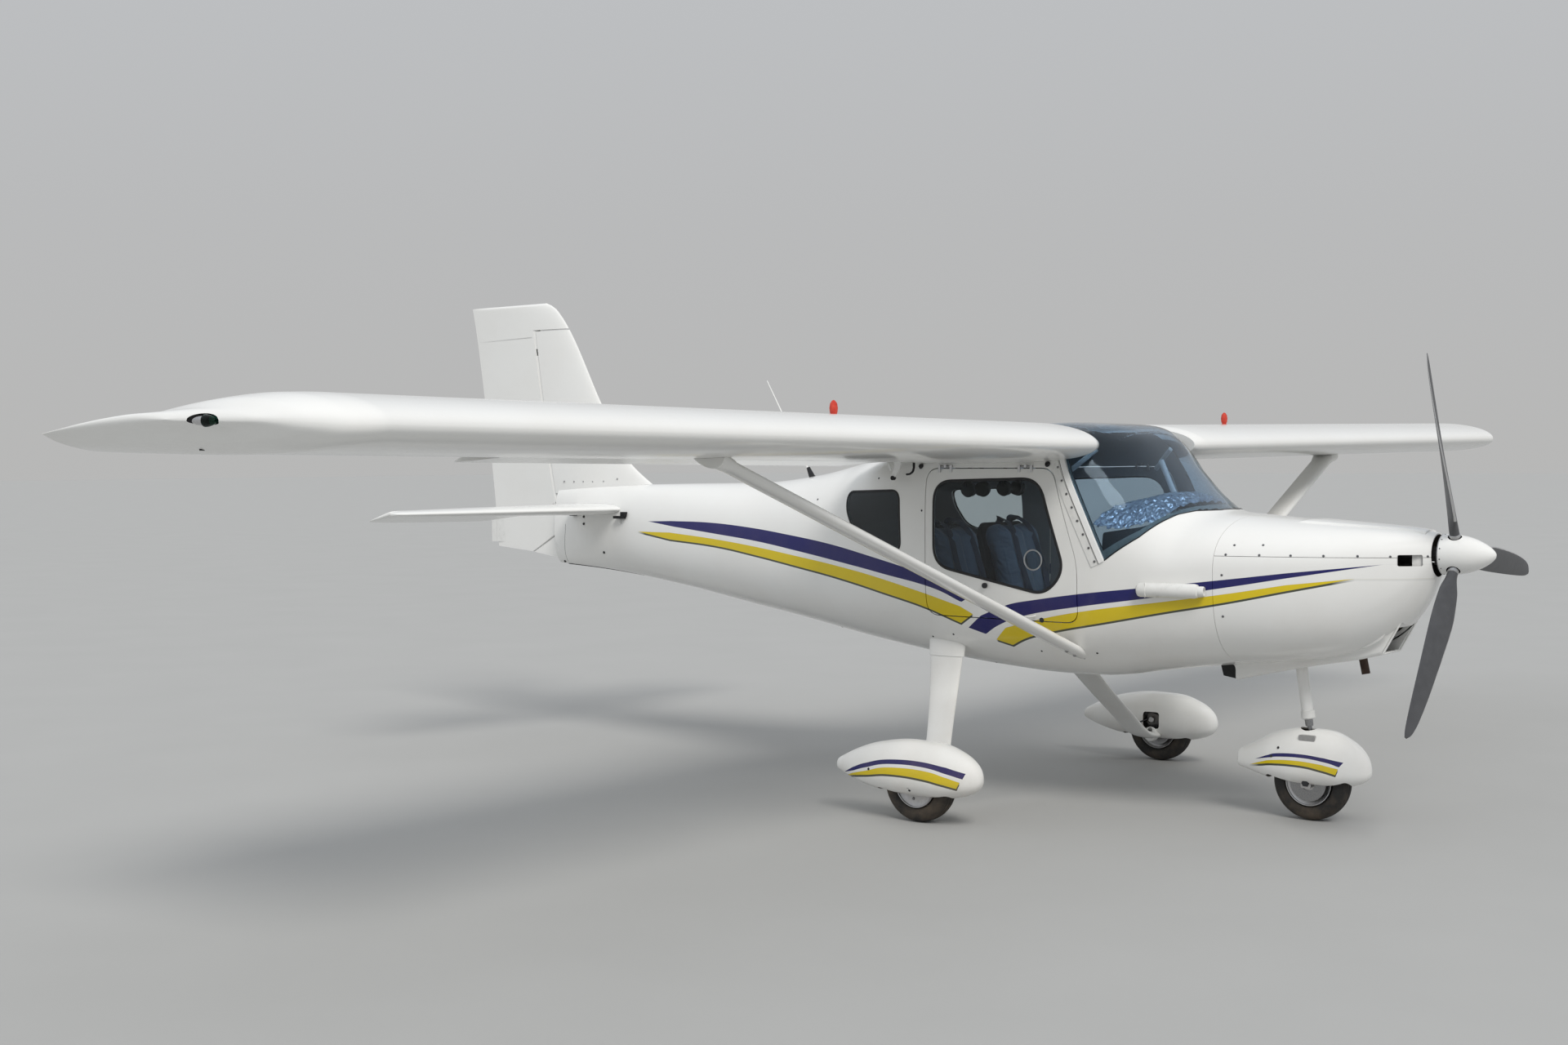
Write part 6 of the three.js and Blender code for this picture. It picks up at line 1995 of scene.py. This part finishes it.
# %% Console, sticks and levers
def make_controls():
    console = prism([(165, 560), (545, 560), (556, 800), (500, 806), (175, 770)], -60, 60, 26, DARK,
                    "centre_console_box")
    finish(keep(baked(bevelled(console, 0.012, 3)), in_cabin(100, 700)), "center_console")
    levers = []
    for y, x, colour in ((-28, 330, RED), (0, 350, DARK), (28, 330, DARK)):
        levers += [rod((x, y, 780), (x - 26, y, 862), 5, material=STEEL, sides=16),
                   turned([(0, 8), (6, 14), (22, 14), (28, 8), (29, 0)], (x - 26, y, 860), (-0.3, 0, 1),
                          colour, sides=28)]
    finish(join("console_levers", *levers), slot=MOULDED)
    for name, s in SIDES:
        foot, head = np.array((300, s * 235, 590.0)), np.array((285, s * 235, 900.0))
        stick = rod(foot, head - (0, 0, 110), 10, 10, STEEL, sides=24)
        grip = turned([(0, 11), (6, 17), (40, 19), (80, 17), (104, 20), (116, 17), (120, 8), (120.5, 0)],
                      head - (-5.3, 0, 112), head - foot, RUBBER, sides=32)
        boot = [turned([(k * 12, 34 - k * 5), (k * 12 + 6, 37 - k * 5), (k * 12 + 12, 31 - k * 5)],
                       foot, head - foot, RUBBER, sides=32) for k in range(4)]
        finish(join(f"{name}_stick_and_grip", stick, grip, *boot), f"{name}_control_stick", slot=MOULDED)


make_controls()


# %% [markdown]
# The sunshade is a sheet of silvered film, cut a little too big and pushed between panel and windscreen,
# so it bulges and wrinkles. It is a grid between two curves, the height of its crown and of its hem, held
# under the glass; fixed sine wrinkles grow towards the free edges, and it has a real thickness.

# %% Foil sunshade
def foil_material():
    material, shader, place = new_material("silvered_sunshade_film", "seat_cloth")
    creases = put(place.tree, "ShaderNodeTexVoronoi", {"Vector": place, "Scale": 26.0},
                  feature="DISTANCE_TO_EDGE")
    noise = clouds(place, 48.0, 6.0)
    fill(shader, {"Base Color": mix(noise, (0.34, 0.41, 0.54), (0.95, 0.97, 1.0)),
                  "Roughness": noise * 0.2 + 0.2, "Metallic": 0.9})
    bump(shader, creases * 2.2 + noise, 0.009)
    return material


CROWN = [(460, 1322), (560, 1346), (666, 1370), (730, 1358), (785, 1332)]
HEM = [(460, 1234), (560, 1228), (646, 1232), (735, 1250), (785, 1272)]


def held_under(z, limit, soft=9):
    """The lower of a height and its limit, with a soft change from one to the other."""
    return 1200 - math.log(math.exp((1200 - z) / soft) + math.exp((1200 - limit) / soft)) * soft


def make_sunshade():
    columns, rows, width = 84, 110, 0.9
    points = []
    for u in np.linspace(0, 1, columns):
        for v in np.linspace(-1, 1, rows):
            aft = 486 + 10 * v * v
            x = aft + (782 - 30 * v * v - aft) * u
            crown, hem = (np.interp(x, *np.array(row, float).T) for row in (CROWN, HEM))
            edge = 0.25 + 0.75 * max(abs(v) ** 3, u ** 4)
            z = hem + (crown - hem) * (1 - abs(v) ** 3) + edge * (
                5 * math.sin(31 * v + 9 * u) + 5 * math.sin(41 * u - 23 * v + 1.3)
                + 3 * math.sin(53 * v + 67 * u))
            pleat = 6 * edge * math.sin(88 * u + 3 * math.sin(9 * u))
            y = v * max(30, hull_y(x, min(z, 1250) + 14) - 40 + pleat)
            points.append((x, y, held_under(z, hull_top(x, y) - 26)))
    faces = [(i * rows + k, i * rows + k + 1, (i + 1) * rows + k + 1, (i + 1) * rows + k)
             for i in range(columns - 1) for k in range(rows - 1)]
    mesh = new_mesh("sunshade_film", metres(points).tolist(), faces, foil_material())
    film = new_object("sunshade_film", mesh)
    wall = film.modifiers.new("thickness", "SOLIDIFY")
    wall.thickness, wall.offset = 0.0012, 0.0
    baked(film)
    finish(film, degrees=60)


make_sunshade()


# %% Roof tube and headsets
def make_cabin_fittings():
    finish(rod((560, 0, 1508), (705, 0, 1196), 13, 13, WHITER_AND_LIT, "windscreen_centre_tube", 28))
    for name, s in SIDES:
        finish(rod((430, s * 330, 1560), (330, s * 380, 1470), 11, 11, PLAIN_WHITE, f"{name}_roof_tube",
                   24))
        parts = []
        for tilt in (1, -1):
            centre, facing = np.array((-318.0, s * 150 - 78 * tilt, 1380)), (0, tilt, 0.1)
            parts += [turned([(0, 20), (3, 34), (12, 38), (22, 36), (28, 28), (30, 0)], centre, facing,
                             DARK, sides=36),
                      turned([(0, 26), (6, 33), (10, 33), (13, 22)], centre + (0, tilt * 29, 0), facing,
                             RUBBER, sides=36)]
        arc = [(-318, s * 150 + 82 * math.cos(a), 1392 + 108 * math.sin(a))
               for a in np.linspace(0, math.pi, 40)]
        hook = [(-318, s * 150, 1500), (-318, s * 150, 1530), (-316, s * 150, 1560), (-316, s * 150, 1616)]
        parts += [swept(arc, 11, RUBBER, sides=12, flat=0.45, lift=(1, 0, 0)),
                  swept(hook, 3, STEEL, sides=8)]
        finish(join(f"{name}_headset", *parts))


make_cabin_fittings()

# %% [markdown]
# Small fittings on the skin: the ram-air tube on the right flank, the whip antenna on the cone, the
# black covers over the door hinges, and the engine behind the cowling, which stays the CAD part with a
# cast finish.

# %% Skin fittings
def make_skin_fittings():
    start, end = np.array((735, -527, 975.0)), np.array((1018, -478, 975.0))
    length = np.linalg.norm(end - start)
    profile = [(0, 12), (2, 20), (8, 27), (18, 30), (length - 40, 30), (length - 28, 27), (length - 24, 21),
               (length - 4, 21), (length, 19), (length, 14), (length - 26, 13)]
    tube = turned(profile, start, end - start, PLAIN_WHITE, "side_scoop_tube", 56)
    finish(cut(tube, flesh(600, 1100)), "side_scoop")
    clip = [(775, -530, 1003), (782, -540, 998), (784, -546, 975), (782, -540, 952), (775, -530, 947)]
    finish(swept(along(clip, 4), 5, PLAIN_WHITE, "side_scoop_clip", 10, 0.5, lift=(1, 0, 0)))
    foot, tip = np.array((-1397, 0, 1400.0)), np.array((-1712, 0, 1932.0))
    base = turned([(6, 30), (28, 27), (38, 16), (92, 9), (93, 0)], foot, (-43, 0, 80), RUBBER,
                  "antenna_base", 40)
    finish(cut(base, hull("tool", -1900, -1200, 1, 14)))
    whip = turned([(0, 8), (60, 7.2), (64, 5.5), (520, 3.4), (610, 2.6), (616, 2.4), (618, 0)], foot,
                  tip - foot, PLAIN_WHITE, "whip_antenna_rod", 24)
    finish(cut(whip, hull("tool", -1900, -1200, 2, 14)), "whip_antenna")


def make_flap_brackets(name, s):
    """The white arm and the push rod that show under each wing root, behind the cabin."""
    # The arm and its stay are whiter than the hull's white: painted sunlight on them.
    arm = prism([(-438, 1514), (-480, 1514), (-476, 1492), (-496, 1440), (-474, 1440), (-440, 1494)],
                s * 566, s * 574, 7, WHITER_AND_LIT)
    stay = prism([(-512, 1504), (-500, 1504), (-486, 1474), (-494, 1468)], s * 578, s * 583, 2, WHITER_AND_LIT)
    bolt = turned([(-8, 0), (-8, 10), (8, 10), (8, 0)], (-485, s * 570, 1437), (0, 1, 0), BLACK_AND_SHADE, sides=28)
    bend = [(-409, 1453), (-390, 1455), (-374, 1466), (-368, 1484), (-368, 1506)]
    hook = swept(along([(x, s * 572, z) for x, z in bend], 4), 6.5, BLACK_AND_SHADE, sides=12, flat=0.7)
    finish(join(f"{name}_flap_bracket", arm, stay, bolt, hook))


make_skin_fittings()
for side in SIDES:
    make_flap_brackets(*side)
for SIDE_NAME, SIDE in SIDES:
    screws(f"{SIDE_NAME}_hinge_covers", side_spots([(-375, 1489), (296, 1497)], SIDE, 1.0), 13, 7, RUBBER,
           0.3)
    screws(f"{SIDE_NAME}_flank_rivets", side_spots([(-640, 1434), (-1090, 1330), (-1090, 700), (505, 690)],
                                                   SIDE), 5, 1.5, DARK, 0.4)
for node_name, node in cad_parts.items():
    if not node.hide_render and not node.hide_viewport:
        print("CAD node left showing:", node_name)
        node.data.materials.clear()
        node.data.materials.append(CAST)
